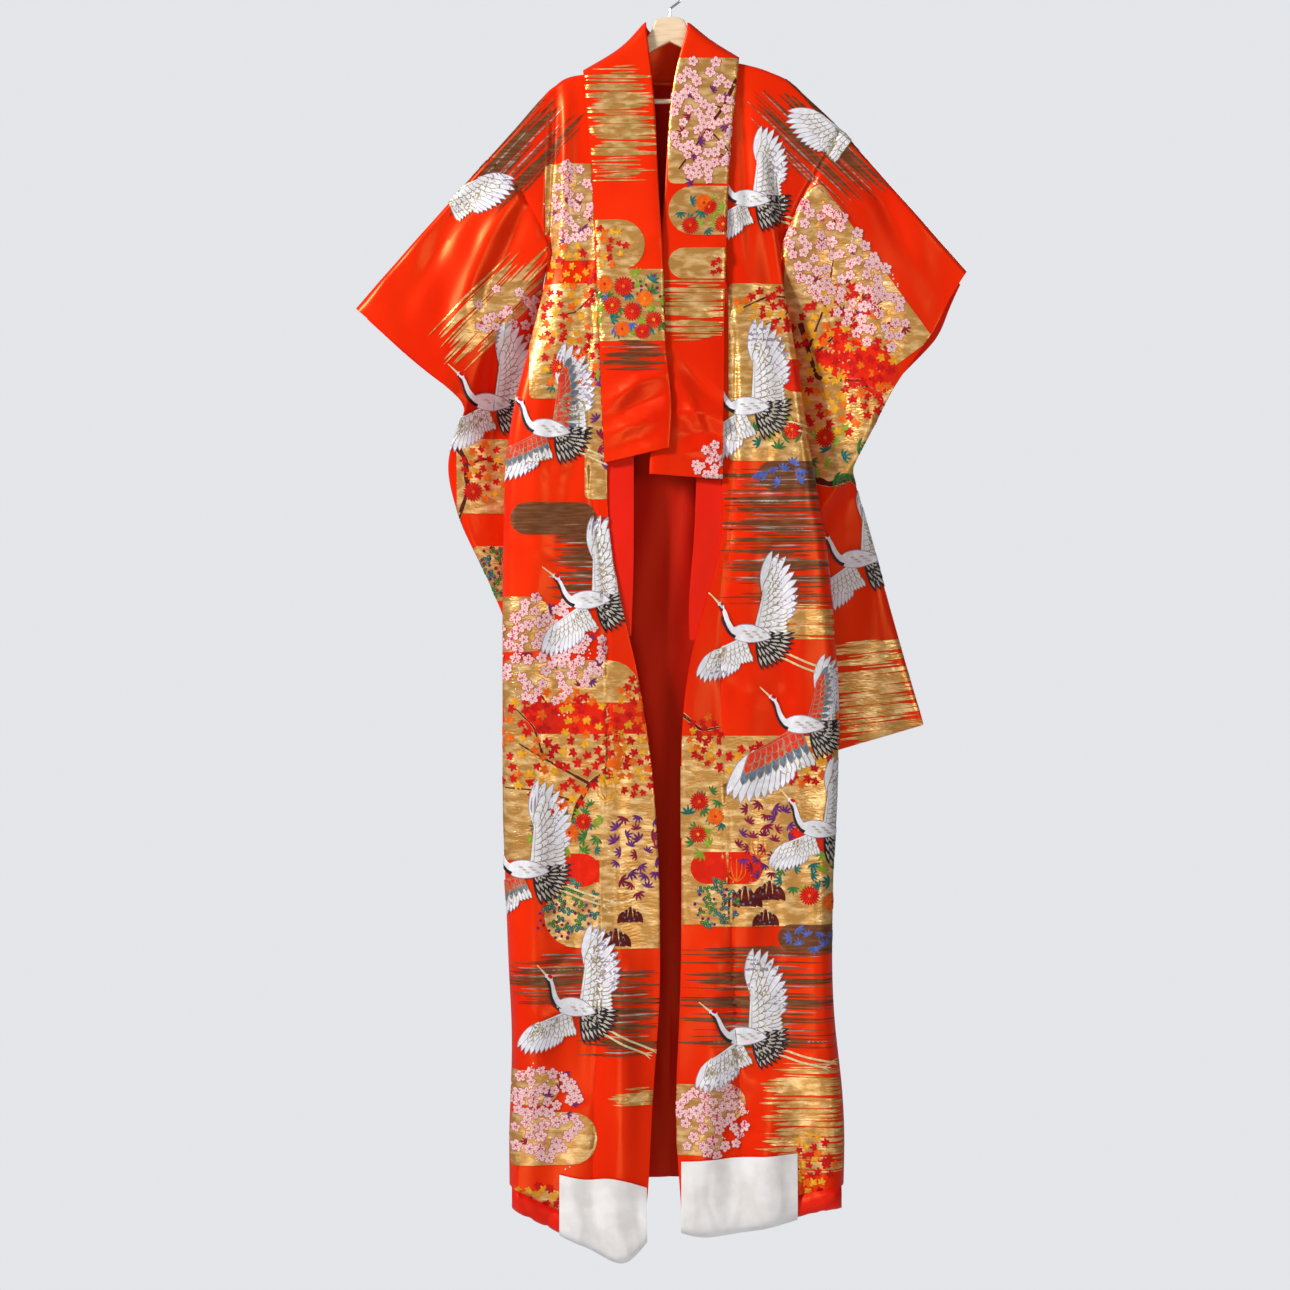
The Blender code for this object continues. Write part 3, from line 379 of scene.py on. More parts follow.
# Branches of the front: cloth, width, points
FRONT_BRANCHES = (
    ("body_left", 9, ((-96, 1270), (-128, 1290), (-150, 1330), (-168, 1400))),
    ("body_left", 5, ((-128, 1290), (-180, 1262), (-240, 1226))),
    ("body_left", 4, ((-150, 1320), (-206, 1300), (-262, 1296))),
    ("body_left", 4, ((-200, 1252), (-216, 1200), (-246, 1170))),
    ("sleeve_right", 8, ((210, 552), (237, 641), (307, 648), (338, 683))),
    ("sleeve_right", 4, ((237, 600), (280, 560), (340, 520))),
    ("sleeve_right", 4, ((225, 590), (250, 520), (262, 450))),
    ("sleeve_right", 11, ((226, 800), (258, 812), (290, 800), (330, 834))),
    ("sleeve_left", 10, ((-356, 730), (-330, 770), (-326, 820), (-346, 880))),
    ("sleeve_left", 5, ((-328, 780), (-300, 768), (-270, 778))),
    ("body_right", 5, ((276, 500), (220, 520), (160, 512), (110, 536))),
    ("body_right", 4, ((206, 518), (176, 550), (140, 564))),
    ("body_right", 8, ((276, 620), (236, 650), (226, 700), (250, 760))),
    ("body_right", 5, ((20, 1180), (50, 1206), (80, 1200))),
    ("body_left", 4, ((-110, 500), (-150, 540), (-200, 548))),
    ("collar_right", 6, ((106, 168), (84, 214), (50, 262), (14, 312))),
    ("collar_right", 3, ((84, 214), (50, 206), (20, 190))),
    ("collar_right", 3, ((60, 248), (92, 280), (104, 320))),
)

# The back's own layout, as seen from behind, in tables with the same columns
BACK_ZONES = (
    ("back", (
        ("gold_block", -190, -20, 330, 480),
        ("gold_lobe", -230, -60, 462, 520),
        ("brown_mist", 20, 230, 420, 560),
        ("gold_block", 30, 250, 640, 900),
        ("red_lobe", 20, 150, 700, 752),
        ("gold_lobe", -250, -30, 700, 790),
        ("brown_lobe", 60, 260, 890, 940),
        ("brown_mist", -240, -10, 900, 1060),
        ("gold_block", -260, 60, 1120, 1380),
        ("red_lobe", -120, 60, 1210, 1262),
        ("gold_lobe", -40, 200, 1350, 1440),
        ("brown_mist", 30, 270, 1130, 1260),
        ("gold_block", 60, 270, 1500, 1700),
        ("gold_mist", -250, -60, 1480, 1580),
        ("brown_mist", -250, 10, 1640, 1760),
        ("gold_lobe", 20, 250, 1760, 1850),
        ("gold_mist", -200, -20, 1840, 1920),
    )),
    ("sleeve_left_behind", (
        ("gold_block", 240, 400, 560, 760, -20),
        ("brown_mist", 200, 420, 330, 470, 35),
        ("gold_lobe", 240, 400, 980, 1060),
        ("brown_mist", 180, 380, 1160, 1260),
    )),
    ("sleeve_right_behind", (
        ("gold_block", -360, -220, 540, 740, 20),
        ("brown_mist", -400, -200, 320, 440, -35),
        ("gold_lobe", -420, -240, 960, 1040),
        ("gold_mist", -420, -240, 1080, 1200),
    )),
    ("sleeve_left_behind", (
        ("gold_block", 60, 240, 760, 960),
        ("brown_mist", -60, 180, 1020, 1120),
        ("gold_lobe", -60, 120, 1150, 1230),
        ("gold_mist", 60, 240, 1260, 1340),
    )),
    ("sleeve_right_behind", (
        ("brown_lobe", -250, -120, 900, 960),
        ("gold_block", -240, -110, 1100, 1240),
    )),
)

BACK_CRANES = (
    ("back", -120, 610, 1.0, 0, -84, 136, 115, "white", "white"),
    ("back", 150, 360, 1.0, -6, -80, 125, 104, "white", "red"),
    ("back", 70, 1010, 1.0, 4, -84, 136, 115, "red", "red"),
    ("back", -160, 860, 0.95, 8, -88, 125, 100, "white", "white"),
    ("back", -90, 1500, 1.0, 0, -84, 136, 109, "white", "white"),
    ("back", 180, 1330, 1.0, -4, -82, 129, 104, "white", "white"),
    ("back", 60, 1650, 1.0, 6, -86, 133, 104, "white", "red"),
    ("sleeve_left_behind", 300, 480, 1.0, 0, -84, 129, 104, "white", "white"),
    ("sleeve_left_behind", 290, 880, 1.0, -6, -84, 129, 104, "white", "red"),
    ("sleeve_left_behind", 40, 1090, 1.0, 4, -84, 129, 104, "white", "white"),
    ("sleeve_right_behind", -300, 480, 1.0, 0, -84, 129, 104, "white", "white"),
    ("sleeve_right_behind", -310, 860, 1.0, -6, -84, 129, 104, "red", "white"),
)

BACK_MOTIFS = (
    ("blossom", "back", -110, 400, 168, 146, 38, 10),
    ("buds", "back", -110, 400, 168, 146, 13, 7),
    ("maple", "back", 140, 760, 213, 224, 64, 10),
    ("blossom", "back", -140, 740, 202, 78, 32, 10),
    ("purple_fan", "back", -140, 740, 190, 78, 11, 13),
    ("maple", "back", -170, 1180, 146, 123, 38, 10),
    ("clover", "back", -120, 1330, 179, 90, 36, 7),
    ("green_fan", "back", -60, 1180, 134, 101, 17, 16),
    ("blossom", "back", 90, 1396, 179, 78, 32, 10),
    ("blossom", "back", 160, 1600, 179, 179, 48, 10),
    ("buds", "back", 160, 1600, 179, 179, 14, 7),
    ("maple", "back", 130, 1810, 190, 78, 35, 10),
    ("violet_dots", "back", -150, 1530, 168, 90, 34, 6),
    ("grass", "back", 150, 870, 134, 45, 8, 42),
    ("rock", "back", -200, 1360, 90, 45, 4, 29),
    ("maple", "sleeve_left_behind", 150, 860, 150, 160, 30, 10),
    ("blossom", "sleeve_left_behind", 30, 1190, 140, 80, 18, 10),
    ("blossom", "sleeve_left_behind", 160, 1280, 120, 80, 16, 10),
    ("clover", "sleeve_right_behind", -180, 1170, 100, 100, 24, 8),
    ("maple", "sleeve_left_behind", 320, 660, 134, 190, 45, 10),
    ("blossom", "sleeve_left_behind", 320, 1010, 146, 78, 26, 10),
    ("blossom", "sleeve_right_behind", -300, 640, 134, 190, 38, 10),
    ("maple", "sleeve_right_behind", -330, 1000, 157, 78, 29, 10),
)

BACK_FLOWERS = (
    ("back", 90, 690, 17, "red", "orange"),
    ("back", 190, 860, 16, "orange", "red"),
    ("back", -200, 1240, 17, "red", "orange"),
    ("back", -30, 1340, 16, "red", "amber"),
    ("back", 220, 1680, 16, "orange", "red"),
    ("sleeve_left_behind", 290, 720, 16, "red", "orange"),
    ("sleeve_right_behind", -270, 700, 16, "red", "orange"),
)

BACK_BRANCHES = (
    ("back", 9, ((40, 900), (70, 840), (110, 800), (120, 730), (160, 680))),
    ("back", 5, ((100, 806), (160, 790), (220, 750))),
    ("back", 9, ((-250, 1380), (-220, 1320), (-170, 1290), (-150, 1220))),
    ("back", 5, ((-180, 1296), (-120, 1280), (-70, 1290))),
    ("back", 5, ((70, 1690), (120, 1640), (200, 1620), (250, 1560))),
    ("sleeve_left_behind", 8, ((250, 750), (290, 700), (330, 690), (370, 620))),
    ("sleeve_right_behind", 8, ((-350, 730), (-320, 680), (-280, 660), (-250, 590))),
)

# Seams: each piece's border is moved onto its neighbour's, on both sides of the robe where a name has {}
SEAMS = (
    ("sleeve_{}_front", "front_{}"),
    ("sleeve_{}_back", "back_{}"),
    ("sleeve_{}_back", "sleeve_{}_front"),
    ("front_strip_{}", "front_{}"),
    ("lining_back_right", "lining_back_left"),
    ("back_right", "back_left"),
    ("front_{}", "back_{}"),
    ("hem_roll_front_{}", "front_{}"),
    ("hem_roll_back_{}", "back_{}"),
)

# Seams that show as a soft line, and how far they are pressed in; minus is towards the front
SUNK_SEAMS = (
    ("sleeve_{}_front", "front_{}", 3.6),
    ("sleeve_{}_back", "back_{}", -2.2),
    ("front_strip_{}", "front_{}", 2.0),
    ("back_right", "back_left", -2.0),
)

# Creases pressed in from the front: points (across, drop), width and depth; minus is a valley
FRONT_CREASES = (
    (((-182, 176), (-186, 300), (-194, 430), (-210, 560)), 8, -10),
    (((-164, 190), (-166, 320), (-172, 480)), 11, 6),
    (((-150, 470), (-140, 640), (-150, 820)), 12, -5),
    (((-176, 560), (-172, 720), (-182, 880)), 12, 5),
    (((-112, 300), (-116, 500), (-108, 700)), 9, 4),
    (((160, 290), (184, 420), (208, 540), (236, 700)), 8, -11),
    (((142, 280), (166, 420), (188, 560), (214, 700)), 12, 6),
    (((116, 180), (122, 330), (128, 470)), 9, -4),
    (((150, 560), (160, 700), (150, 860)), 13, 5),
    (((178, 640), (196, 780), (190, 900)), 12, -5),
    (((-190, 1980), (-200, 1500), (-190, 1100)), 24, 6),
    (((-120, 1900), (-150, 1500), (-140, 1100)), 22, -6),
    (((-70, 1900), (-84, 1500), (-90, 1180)), 18, 5),
    (((200, 1900), (190, 1500), (206, 1060)), 24, 6),
    (((130, 1880), (150, 1450), (136, 1020)), 22, -6),
    (((64, 1860), (84, 1500), (90, 1120)), 18, 5),
    (((-230, 1900), (-170, 1820), (-100, 1790)), 12, 3),
    (((60, 1700), (130, 1760), (220, 1800)), 12, 4),
    (((90, 1820), (160, 1850), (230, 1850)), 10, -4),
    (((-250, 900), (-180, 930), (-120, 900)), 10, 4),
    (((60, 930), (140, 900), (230, 930)), 10, 4),
    (((-260, 1240), (-180, 1260), (-90, 1240)), 10, -4),
    (((60, 1560), (140, 1590), (220, 1560)), 10, -4),
    (((-240, 760), (-190, 800), (-130, 812)), 8, -4),
    (((-250, 1130), (-200, 1100), (-140, 1110)), 8, 3.5),
    (((-240, 1680), (-170, 1650), (-80, 1668)), 8, 4),
    (((-220, 1600), (-150, 1560), (-60, 1580)), 9, -4),
    (((60, 1110), (120, 1150), (200, 1150)), 8, -4),
    (((100, 840), (170, 880), (250, 870)), 8, -4),
    (((40, 1640), (110, 1610), (190, 1640)), 8, 4),
    (((130, 1740), (190, 1700), (260, 1690)), 8, -4),
    (((30, 1800), (80, 1760), (130, 1770)), 7, 3.5),
    (((-280, 1780), (-240, 1740), (-180, 1730)), 8, -4),
    (((90, 540), (150, 590), (200, 600)), 8, 3.5),
    (((-200, 660), (-150, 700), (-110, 690)), 8, 3.5),
)

SLEEVE_CREASES = (
    (((-200, 290), (-290, 420), (-360, 600)), 15, 7),
    (((-214, 330), (-290, 500), (-320, 660)), 13, -6),
    (((-240, 280), (-340, 380), (-430, 540)), 16, -6),
    (((-250, 240), (-360, 340), (-460, 480)), 16, 4),
    (((-250, 420), (-290, 640), (-280, 900)), 14, -6),
    (((-290, 560), (-330, 780), (-320, 1040)), 16, 6),
    (((-330, 620), (-356, 760), (-346, 900)), 12, -4),
    (((210, 280), (290, 420), (340, 590)), 15, 7),
    (((226, 330), (280, 500), (320, 660)), 13, -6),
    (((240, 250), (340, 360), (420, 520)), 16, -6),
    (((256, 220), (370, 330), (440, 450)), 16, 4),
    (((250, 420), (280, 660), (290, 900)), 14, -6),
    (((290, 560), (330, 800), (340, 1060)), 16, 6),
    (((310, 640), (350, 740), (370, 900)), 12, -4),
)

COLLAR_CREASES = (
    (((0, 600), (-60, 616), (-120, 596)), 8, 4.5),
    (((-4, 640), (-50, 652), (-100, 690)), 9, 7.5),
    (((-10, 672), (-60, 690), (-112, 724)), 8, -7.5),
    (((-14, 706), (-62, 722), (-118, 740)), 8, 7.5),
    (((-20, 740), (-60, 748), (-110, 764)), 7, -6),
    (((4, 640), (30, 680), (56, 740)), 9, 6),
    (((20, 620), (60, 670), (104, 700)), 9, -6),
    (((10, 700), (56, 700), (110, 728)), 8, 7.5),
    (((14, 736), (60, 732), (106, 752)), 8, -6),
    (((20, 762), (60, 758), (100, 772)), 7, 6),
    (((-20, 420), (-70, 450), (-120, 440)), 10, 4.5),
    (((-20, 250), (-60, 230), (-120, 260)), 12, 4.5),
    (((-14, 170), (-60, 190), (-120, 170)), 11, -4.5),
    (((16, 240), (56, 262), (108, 240)), 12, 4.5),
    (((20, 460), (70, 440), (110, 456)), 10, 4.5),
    (((14, 560), (60, 548), (108, 566)), 10, -4.5),
)

GUARD_CREASES = (
    (((-160, 1930), (-140, 1980), (-150, 2030)), 7, 1.8),
    (((-128, 1926), (-116, 1990), (-96, 2040)), 6, -1.6),
    (((-90, 1940), (-84, 1990), (-60, 2050)), 7, 1.8),
    (((-56, 1930), (-50, 1980), (-40, 2030)), 6, -1.6),
    (((30, 1900), (40, 1960), (30, 2010)), 7, 1.8),
    (((64, 1896), (60, 1950), (84, 2010)), 6, -1.6),
    (((104, 1890), (110, 1940), (96, 2000)), 8, 1.8),
    (((140, 1884), (136, 1950), (160, 2000)), 6, -1.6),
    (((170, 1900), (176, 1950), (168, 1990)), 6, 1.6),
)

BACK_CREASES = (
    (((-220, 300), (-200, 700), (-210, 1200)), 20, 6),
    (((-150, 260), (-140, 700), (-160, 1150)), 18, -6),
    (((-80, 320), (-90, 900), (-70, 1500)), 20, 5),
    (((210, 300), (200, 800), (220, 1300)), 20, 6),
    (((140, 260), (150, 700), (130, 1100)), 18, -6),
    (((70, 320), (84, 900), (76, 1400)), 20, 5),
    (((-180, 1300), (-170, 1600), (-190, 1880)), 20, 6),
    (((160, 1250), (170, 1600), (150, 1900)), 20, 6),
    (((-110, 1350), (-120, 1600), (-110, 1880)), 18, -5),
    (((100, 1350), (110, 1600), (96, 1880)), 18, -5),
)


def shade(name, colour, rough, metal=0.0, sheen=0.0):
    """A material with its plain values set, and its node tree to add detail to."""
    made = bpy.data.materials.new(name)
    made.use_nodes = True
    made.diffuse_color = (*colour, 1)
    shader = made.node_tree.nodes["Principled BSDF"]
    shader.inputs["Base Color"].default_value = (*colour, 1)
    shader.inputs["Roughness"].default_value = rough
    shader.inputs["Metallic"].default_value = metal
    shader.inputs["Sheen Weight"].default_value = sheen
    return made, made.node_tree, shader


def glossed(shader, level, tint):
    """Sets how strong and what colour the silk's own shine is."""
    shader.inputs["Specular IOR Level"].default_value = level
    shader.inputs["Specular Tint"].default_value = (*tint, 1)


def add(tree, kind, **inputs):
    """A node with some inputs set, each to a value or from a socket."""
    node = tree.nodes.new(kind)
    for name, value in inputs.items():
        socket = node.inputs[name.replace("_", " ")]
        if isinstance(value, bpy.types.NodeSocket):
            tree.links.new(value, socket)
        else:
            socket.default_value = value
    return node


def noise_at(tree, stretch, scale, detail=3.0):
    """Noise in object coordinates, stretched by a scale for each axis."""
    place = tree.nodes.new("ShaderNodeTexCoord").outputs["Object"]
    mapped = add(tree, "ShaderNodeMapping", Vector=place, Scale=stretch)
    noise = add(tree, "ShaderNodeTexNoise", Vector=mapped.outputs[0], Scale=scale, Detail=detail)
    return noise.outputs["Fac"]


def ramp(tree, value, *stops):
    """A colour ramp with stops of place and colour."""
    node = add(tree, "ShaderNodeValToRGB", Fac=value)
    marks = node.color_ramp.elements
    while len(marks) < len(stops):
        marks.new(0.5)
    for mark, (at, colour) in zip(marks, stops):
        mark.position = at
        mark.color = (*colour, 1)
    return node.outputs["Color"]


def bump(tree, shader, height, strength, distance):
    """Small relief that shows only in how the light falls."""
    node = add(tree, "ShaderNodeBump", Height=height, Strength=strength, Distance=distance)
    tree.links.new(node.outputs[0], shader.inputs["Normal"])


def satin(name, colour, deep, rough):
    """Smooth warp-faced silk: slightly cloudy, with fine threads down the cloth."""
    made, tree, shader = shade(name, colour, rough)
    glossed(shader, *SATIN_SHINE)
    cloud = noise_at(tree, (1, 1, 0.5), 7.0)
    tree.links.new(ramp(tree, cloud, (0.3, deep), (0.65, colour)), shader.inputs["Base Color"])
    threads = noise_at(tree, (1, 1, 0.04), 900.0, 1.0)
    bump(tree, shader, threads, 0.1, 0.0005)
    return made


def cotton(name, colour, deep):
    """White cotton with a plain weave and faint marks."""
    made, tree, shader = shade(name, colour, 0.9, sheen=0.2)
    cloud = noise_at(tree, (1, 1, 1), 30.0, 5.0)
    tree.links.new(ramp(tree, cloud, (0.35, deep), (0.6, colour)), shader.inputs["Base Color"])
    weave = noise_at(tree, (1, 1, 1), 700.0, 1.0)
    bump(tree, shader, weave, 0.25, 0.0006)
    return made


def pale_wood():
    """Light varnished wood with grain along the hanger's arms."""
    made, tree, shader = shade("pale_wood", (0.80, 0.60, 0.38), 0.42)
    grain = noise_at(tree, (1.2, 6, 9), 22.0, 6.0)
    tones = (0.3, (0.66, 0.44, 0.25)), (0.5, (0.80, 0.60, 0.38)), (0.7, (0.86, 0.68, 0.46))
    tree.links.new(ramp(tree, grain, *tones), shader.inputs["Base Color"])
    bump(tree, shader, grain, 0.15, 0.0004)
    return made


def plated_steel():
    made, tree, shader = shade("plated_steel", (0.72, 0.72, 0.73), 0.22, metal=1.0)
    scuffs = noise_at(tree, (1, 1, 1), 260.0, 4.0)
    rough = add(tree, "ShaderNodeMapRange", Value=scuffs, To_Min=0.16, To_Max=0.34)
    tree.links.new(rough.outputs[0], shader.inputs["Roughness"])
    return made


def points_of(mesh):
    flat = np.empty(len(mesh.vertices) * 3)
    mesh.vertices.foreach_get("co", flat)
    return flat.reshape(-1, 3)


def put_points(mesh, points):
    mesh.vertices.foreach_set("co", points.ravel())
    mesh.update()


def applied(made):
    """Makes the object's modifiers part of its mesh."""
    graph = bpy.context.evaluated_depsgraph_get()
    mesh = bpy.data.meshes.new_from_object(made.evaluated_get(graph))
    made.modifiers.clear()
    made.data = mesh


def shell(node):
    """A smooth fine copy of a packed wall, for its CAD node."""
    shape = bmesh.new()
    shape.from_mesh(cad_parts[node].data)
    bmesh.ops.remove_doubles(shape, verts=shape.verts, dist=MERGED * MM)
    bmesh.ops.join_triangles(
        shape, faces=shape.faces, angle_face_threshold=JOINED_FLAT, angle_shape_threshold=JOINED_SHAPE
    )
    crease = shape.edges.layers.float.new("crease_edge")
    for edge in shape.edges:
        if edge.calc_face_angle(0) > SHARP:
            edge[crease] = 1.0
    mesh = bpy.data.meshes.new(f"cloth_{node}")
    shape.to_mesh(mesh)
    shape.free()
    made = bpy.data.objects.new(f"cloth_{node}", mesh)
    bpy.context.scene.collection.objects.link(made)
    smooth = made.modifiers.new("smooth", "SUBSURF")
    smooth.levels = 2
    applied(made)
    cut_long_edges(made.data, longest_edge(node) * MM)
    return made


def cut_long_edges(mesh, longest):
    shape = bmesh.new()
    shape.from_mesh(mesh)
    long = [edge for edge in shape.edges if edge.calc_length() > longest]
    bmesh.ops.subdivide_edges(shape, edges=long, cuts=1, use_grid_fill=True)
    shape.to_mesh(mesh)
    shape.free()


def finished(made, material, node):
    """Gives the piece its one material and lets it ride on the robe in place of its CAD node."""
    made.data.materials.clear()
    made.data.materials.append(material)
    made.data.polygons.foreach_set("use_smooth", np.ones(len(made.data.polygons), bool))
    edges = made.modifiers.new("edges", "WEIGHTED_NORMAL")
    edges.keep_sharp = True
    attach(made, "root")
    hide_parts(node)


def studio():
    """Pale world, floor out of the photograph's frame, soft lights and the camera."""
    world = bpy.data.worlds.new("studio")
    bpy.context.scene.world = world
    world.use_nodes = True
    sky = world.node_tree.nodes["Background"]
    sky.inputs["Color"].default_value = (*BACKDROP, 1)
    sky.inputs["Strength"].default_value = AMBIENT
    bpy.context.scene.view_settings.view_transform = "Standard"

    below = (0, 0, -FLOOR_DROP * MM)
    bpy.ops.mesh.primitive_circle_add(vertices=64, radius=FLOOR_RADIUS, fill_type="NGON", location=below)
    floor = bpy.context.object
    floor.name = "floor"
    floor.data.materials.append(shade("floor_paint", FLOOR_PAINT, 0.9)[0])

    bpy.ops.mesh.primitive_ico_sphere_add(subdivisions=5, radius=ROOM, location=(0, 0, -1))
    room = bpy.context.object
    room.name = "backdrop"
    paint = bpy.data.materials.new("backdrop_paint")
    paint.use_nodes = True
    glow = paint.node_tree.nodes["Principled BSDF"]
    glow.inputs["Base Color"].default_value = (0, 0, 0, 1)
    glow.inputs["Specular IOR Level"].default_value = 0.0
    glow.inputs["Emission Color"].default_value = (*BACKDROP, 1)
    glow.inputs["Emission Strength"].default_value = 1.0
    room.data.materials.append(paint)
    room.visible_diffuse = room.visible_glossy = room.visible_shadow = False

    for name, place, size, power in LIGHTS:
        light = bpy.data.lights.new(name, "AREA")
        light.size = size
        light.energy = power
        lamp = bpy.data.objects.new(name, light)
        lamp.location = place
        lamp.rotation_euler = (Vector((0, 0, -1.0)) - lamp.location).to_track_quat("-Z", "Y").to_euler()
        bpy.context.scene.collection.objects.link(lamp)

    camera = bpy.data.cameras.new("camera")
    camera.sensor_width = SENSOR_MM
    camera.lens = SENSOR_MM * CAMERA_AWAY / VIEW_WIDTH
    holder = bpy.data.objects.new("camera", camera)
    holder.location = (CAMERA_ACROSS * MM, -CAMERA_AWAY * MM, -CAMERA_DROP * MM)
    holder.rotation_euler = (math.radians(90), 0, 0)
    bpy.context.scene.collection.objects.link(holder)
    bpy.context.scene.camera = holder


OUTLINES = {
    "leaf": lambda t: np.sin(math.pi * t) ** 0.8,
    "petal": lambda t: np.sqrt(np.clip(1 - (2 * t - 1) ** 2, 0, 1)) * (0.5 + 0.5 * t),
    "oval": lambda t: np.sqrt(np.clip(1 - (2 * t - 1) ** 2, 0, 1)),
    "feather": lambda t: np.minimum(1, 0.4 + 1.6 * t) * np.clip(1 - t**4, 0, 1) ** 0.7,
    "plume": lambda t: np.minimum(1, 0.5 + 2 * t) * np.clip(1 - t**8, 0, 1) ** 0.5,
    "streak": lambda t: np.clip(np.sin(math.pi * t), 0, 1) ** 0.5,
    "body": lambda t: np.clip(np.sin(math.pi * t**0.8), 0, 1) ** 0.7,
    "stalk": lambda t: 1 - 0.65 * t,
    "branch": lambda t: (1 - 0.55 * t) * (1 + 0.13 * np.sin(17 * t) + 0.09 * np.sin(41 * t + 1)),
    "thread": lambda t: np.ones_like(t),
}


class Pen:
    """Draws flat pieces in its own place, size, turn and level, onto the named cloth."""

    def __init__(self, drawing, on, place=(0, 0), size=1.0, turn=0.0, level=0.0):
        self.drawing, self.on, self.level = drawing, on, level
        self.place, self.size = np.array(place, float), size
        self.cos, self.sin = math.cos(math.radians(turn)), math.sin(math.radians(turn))

    def put(self, grid, colour):
        """A grid of points across and down, each with its height."""
        x, y = grid[..., 0] * self.size, grid[..., 1] * self.size
        across = x * self.cos - y * self.sin + self.place[0]
        down = x * self.sin + y * self.cos + self.place[1]
        height = grid[..., 2] if grid.shape[2] > 2 else 0 * x
        self.drawing.append((np.stack([across, down, height], axis=-1), colour, self.level, self.on))

    def ribbon(self, spine, slope, half, colour, rise, tilt):
        """A strip along a spine: its half width at each step, its height, and how it leans across."""
        normal = np.stack([-slope[:, 1], slope[:, 0]], axis=1) / np.linalg.norm(slope, axis=1)[:, None]
        lanes = max(1, math.ceil(2 * half.max() * self.size / CELL))
        across = np.linspace(-1, 1, lanes + 1)[None, :] * half[:, None]
        flat = spine[:, None] + normal[:, None] * across[..., None]
        self.put(np.concatenate([flat, (rise + tilt * across)[..., None]], axis=2), colour)

    def blade(self, root, tip, width, outline, colour, bend=0.0, rise=0.0, tilt=0.0):
        """A strip from root to tip with an outline for its width, bent aside by a share of its length."""
        root, tip = np.array(root, float), np.array(tip, float)
        way = tip - root
        aside = np.array([-way[1], way[0]])
        count = max(5, math.ceil(np.linalg.norm(way) * self.size / CELL))
        t = np.linspace(0, 1, count + 1)[:, None]
        spine = root + way * t + aside * bend * 4 * t * (1 - t)
        slope = way + aside * bend * 4 * (1 - 2 * t)
        self.ribbon(spine, slope, width / 2 * OUTLINES[outline](t[:, 0]), colour, rise, tilt)

    def dot(self, place, size, colour, rise=0.0):
        place = np.array(place, float)
        self.blade(place - (size / 2, 0), place + (size / 2, 0), size, "oval", colour, rise=rise)

    def line(self, points, width, colour, outline="stalk", rise=0.0):
        """A bent line through points."""
        points = np.array(points, float)
        at = np.concatenate([[0], np.cumsum(np.linalg.norm(np.diff(points, axis=0), axis=1))])
        t = np.linspace(0, 1, max(5, math.ceil(at[-1] * self.size / CELL * 1.6)) + 1)
        spine = np.stack([np.interp(t * at[-1], at, points[:, axis]) for axis in (0, 1)], axis=1)
        for _ in range(2):
            spine[1:-1] = (spine[:-2] + 2 * spine[1:-1] + spine[2:]) / 4
        self.ribbon(spine, np.gradient(spine, axis=0), width / 2 * OUTLINES[outline](t), colour, rise, 0.0)


def toward(place, degrees, length):
    """The point at a length from a place, at degrees clockwise from straight across."""
    turn = math.radians(degrees)
    return (place[0] + length * math.cos(turn), place[1] + length * math.sin(turn))


def feather(pen, start, way, reach, length, look, bend, rise, lean):
    """One feather of a wing: its edge, and a narrower and slightly higher one inside it."""
    outline, edge, colour, wide, narrow, shorter = look
    pen.blade(start, toward(start, way, reach), wide * length, outline, edge, bend, rise, lean)
    tip = toward(start, way, reach - shorter)
    pen.blade(start, tip, narrow * length, outline, colour, bend, rise + INNER, lean)


def wing(pen, root, angle, length, trail, first, spread, coverts):
    """A spread wing: flight feathers from its wrist, shorter ones to the body, and coverts on the arm."""
    over, under = COVERTS[coverts]
    wrist = toward(root, angle, 0.47 * length)
    lean = 0.02 * trail
    for i in range(10, -1, -1):
        share = i / 10
        start = toward(wrist, angle + trail * 146, 0.31 * length * share)
        way = angle + trail * (first + spread * share)
        reach = length * np.interp(share, (0, 0.2, 0.5, 1), (0.53, 0.57, 0.47, 0.27))
        feather(pen, start, way, reach, length, FLIGHT_FEATHER, -0.07 * trail * (1 - share), 0.0, lean)
    for i in range(6, -1, -1):
        share = i / 6
        start = toward(root, angle, length * (0.26 - 0.24 * share))
        way = angle + trail * (first + spread + 6 + 8 * share)
        reach = length * (0.36 + 0.05 * share)
        feather(pen, start, way, reach, length, ARM_FEATHER, 0.05, 0.2, lean)
    for row, (depth, colour) in enumerate(((0.33, under), (0.22, over), (0.13, over))):
        look = ("plume", "olive_line", colour, 0.085, 0.066, 1)
        for i in range(8, -1, -1):
            share = i / 8
            start = toward(root, angle, length * (0.5 - 0.5 * share))
            way = angle + trail * (first + 14 + (spread - 6) * share)
            reach = length * depth * (1.05 - 0.2 * share)
            feather(pen, start, way, reach, length, look, 0.0, 0.42 + 0.2 * row, lean)
    arm = [toward(root, angle, length * share) for share in (-0.04, 0.22, 0.5)]
    pen.line(arm, 0.05 * length, "olive_line", rise=1.0)
    pen.line(arm, 0.035 * length, over, rise=1.0 + INNER)


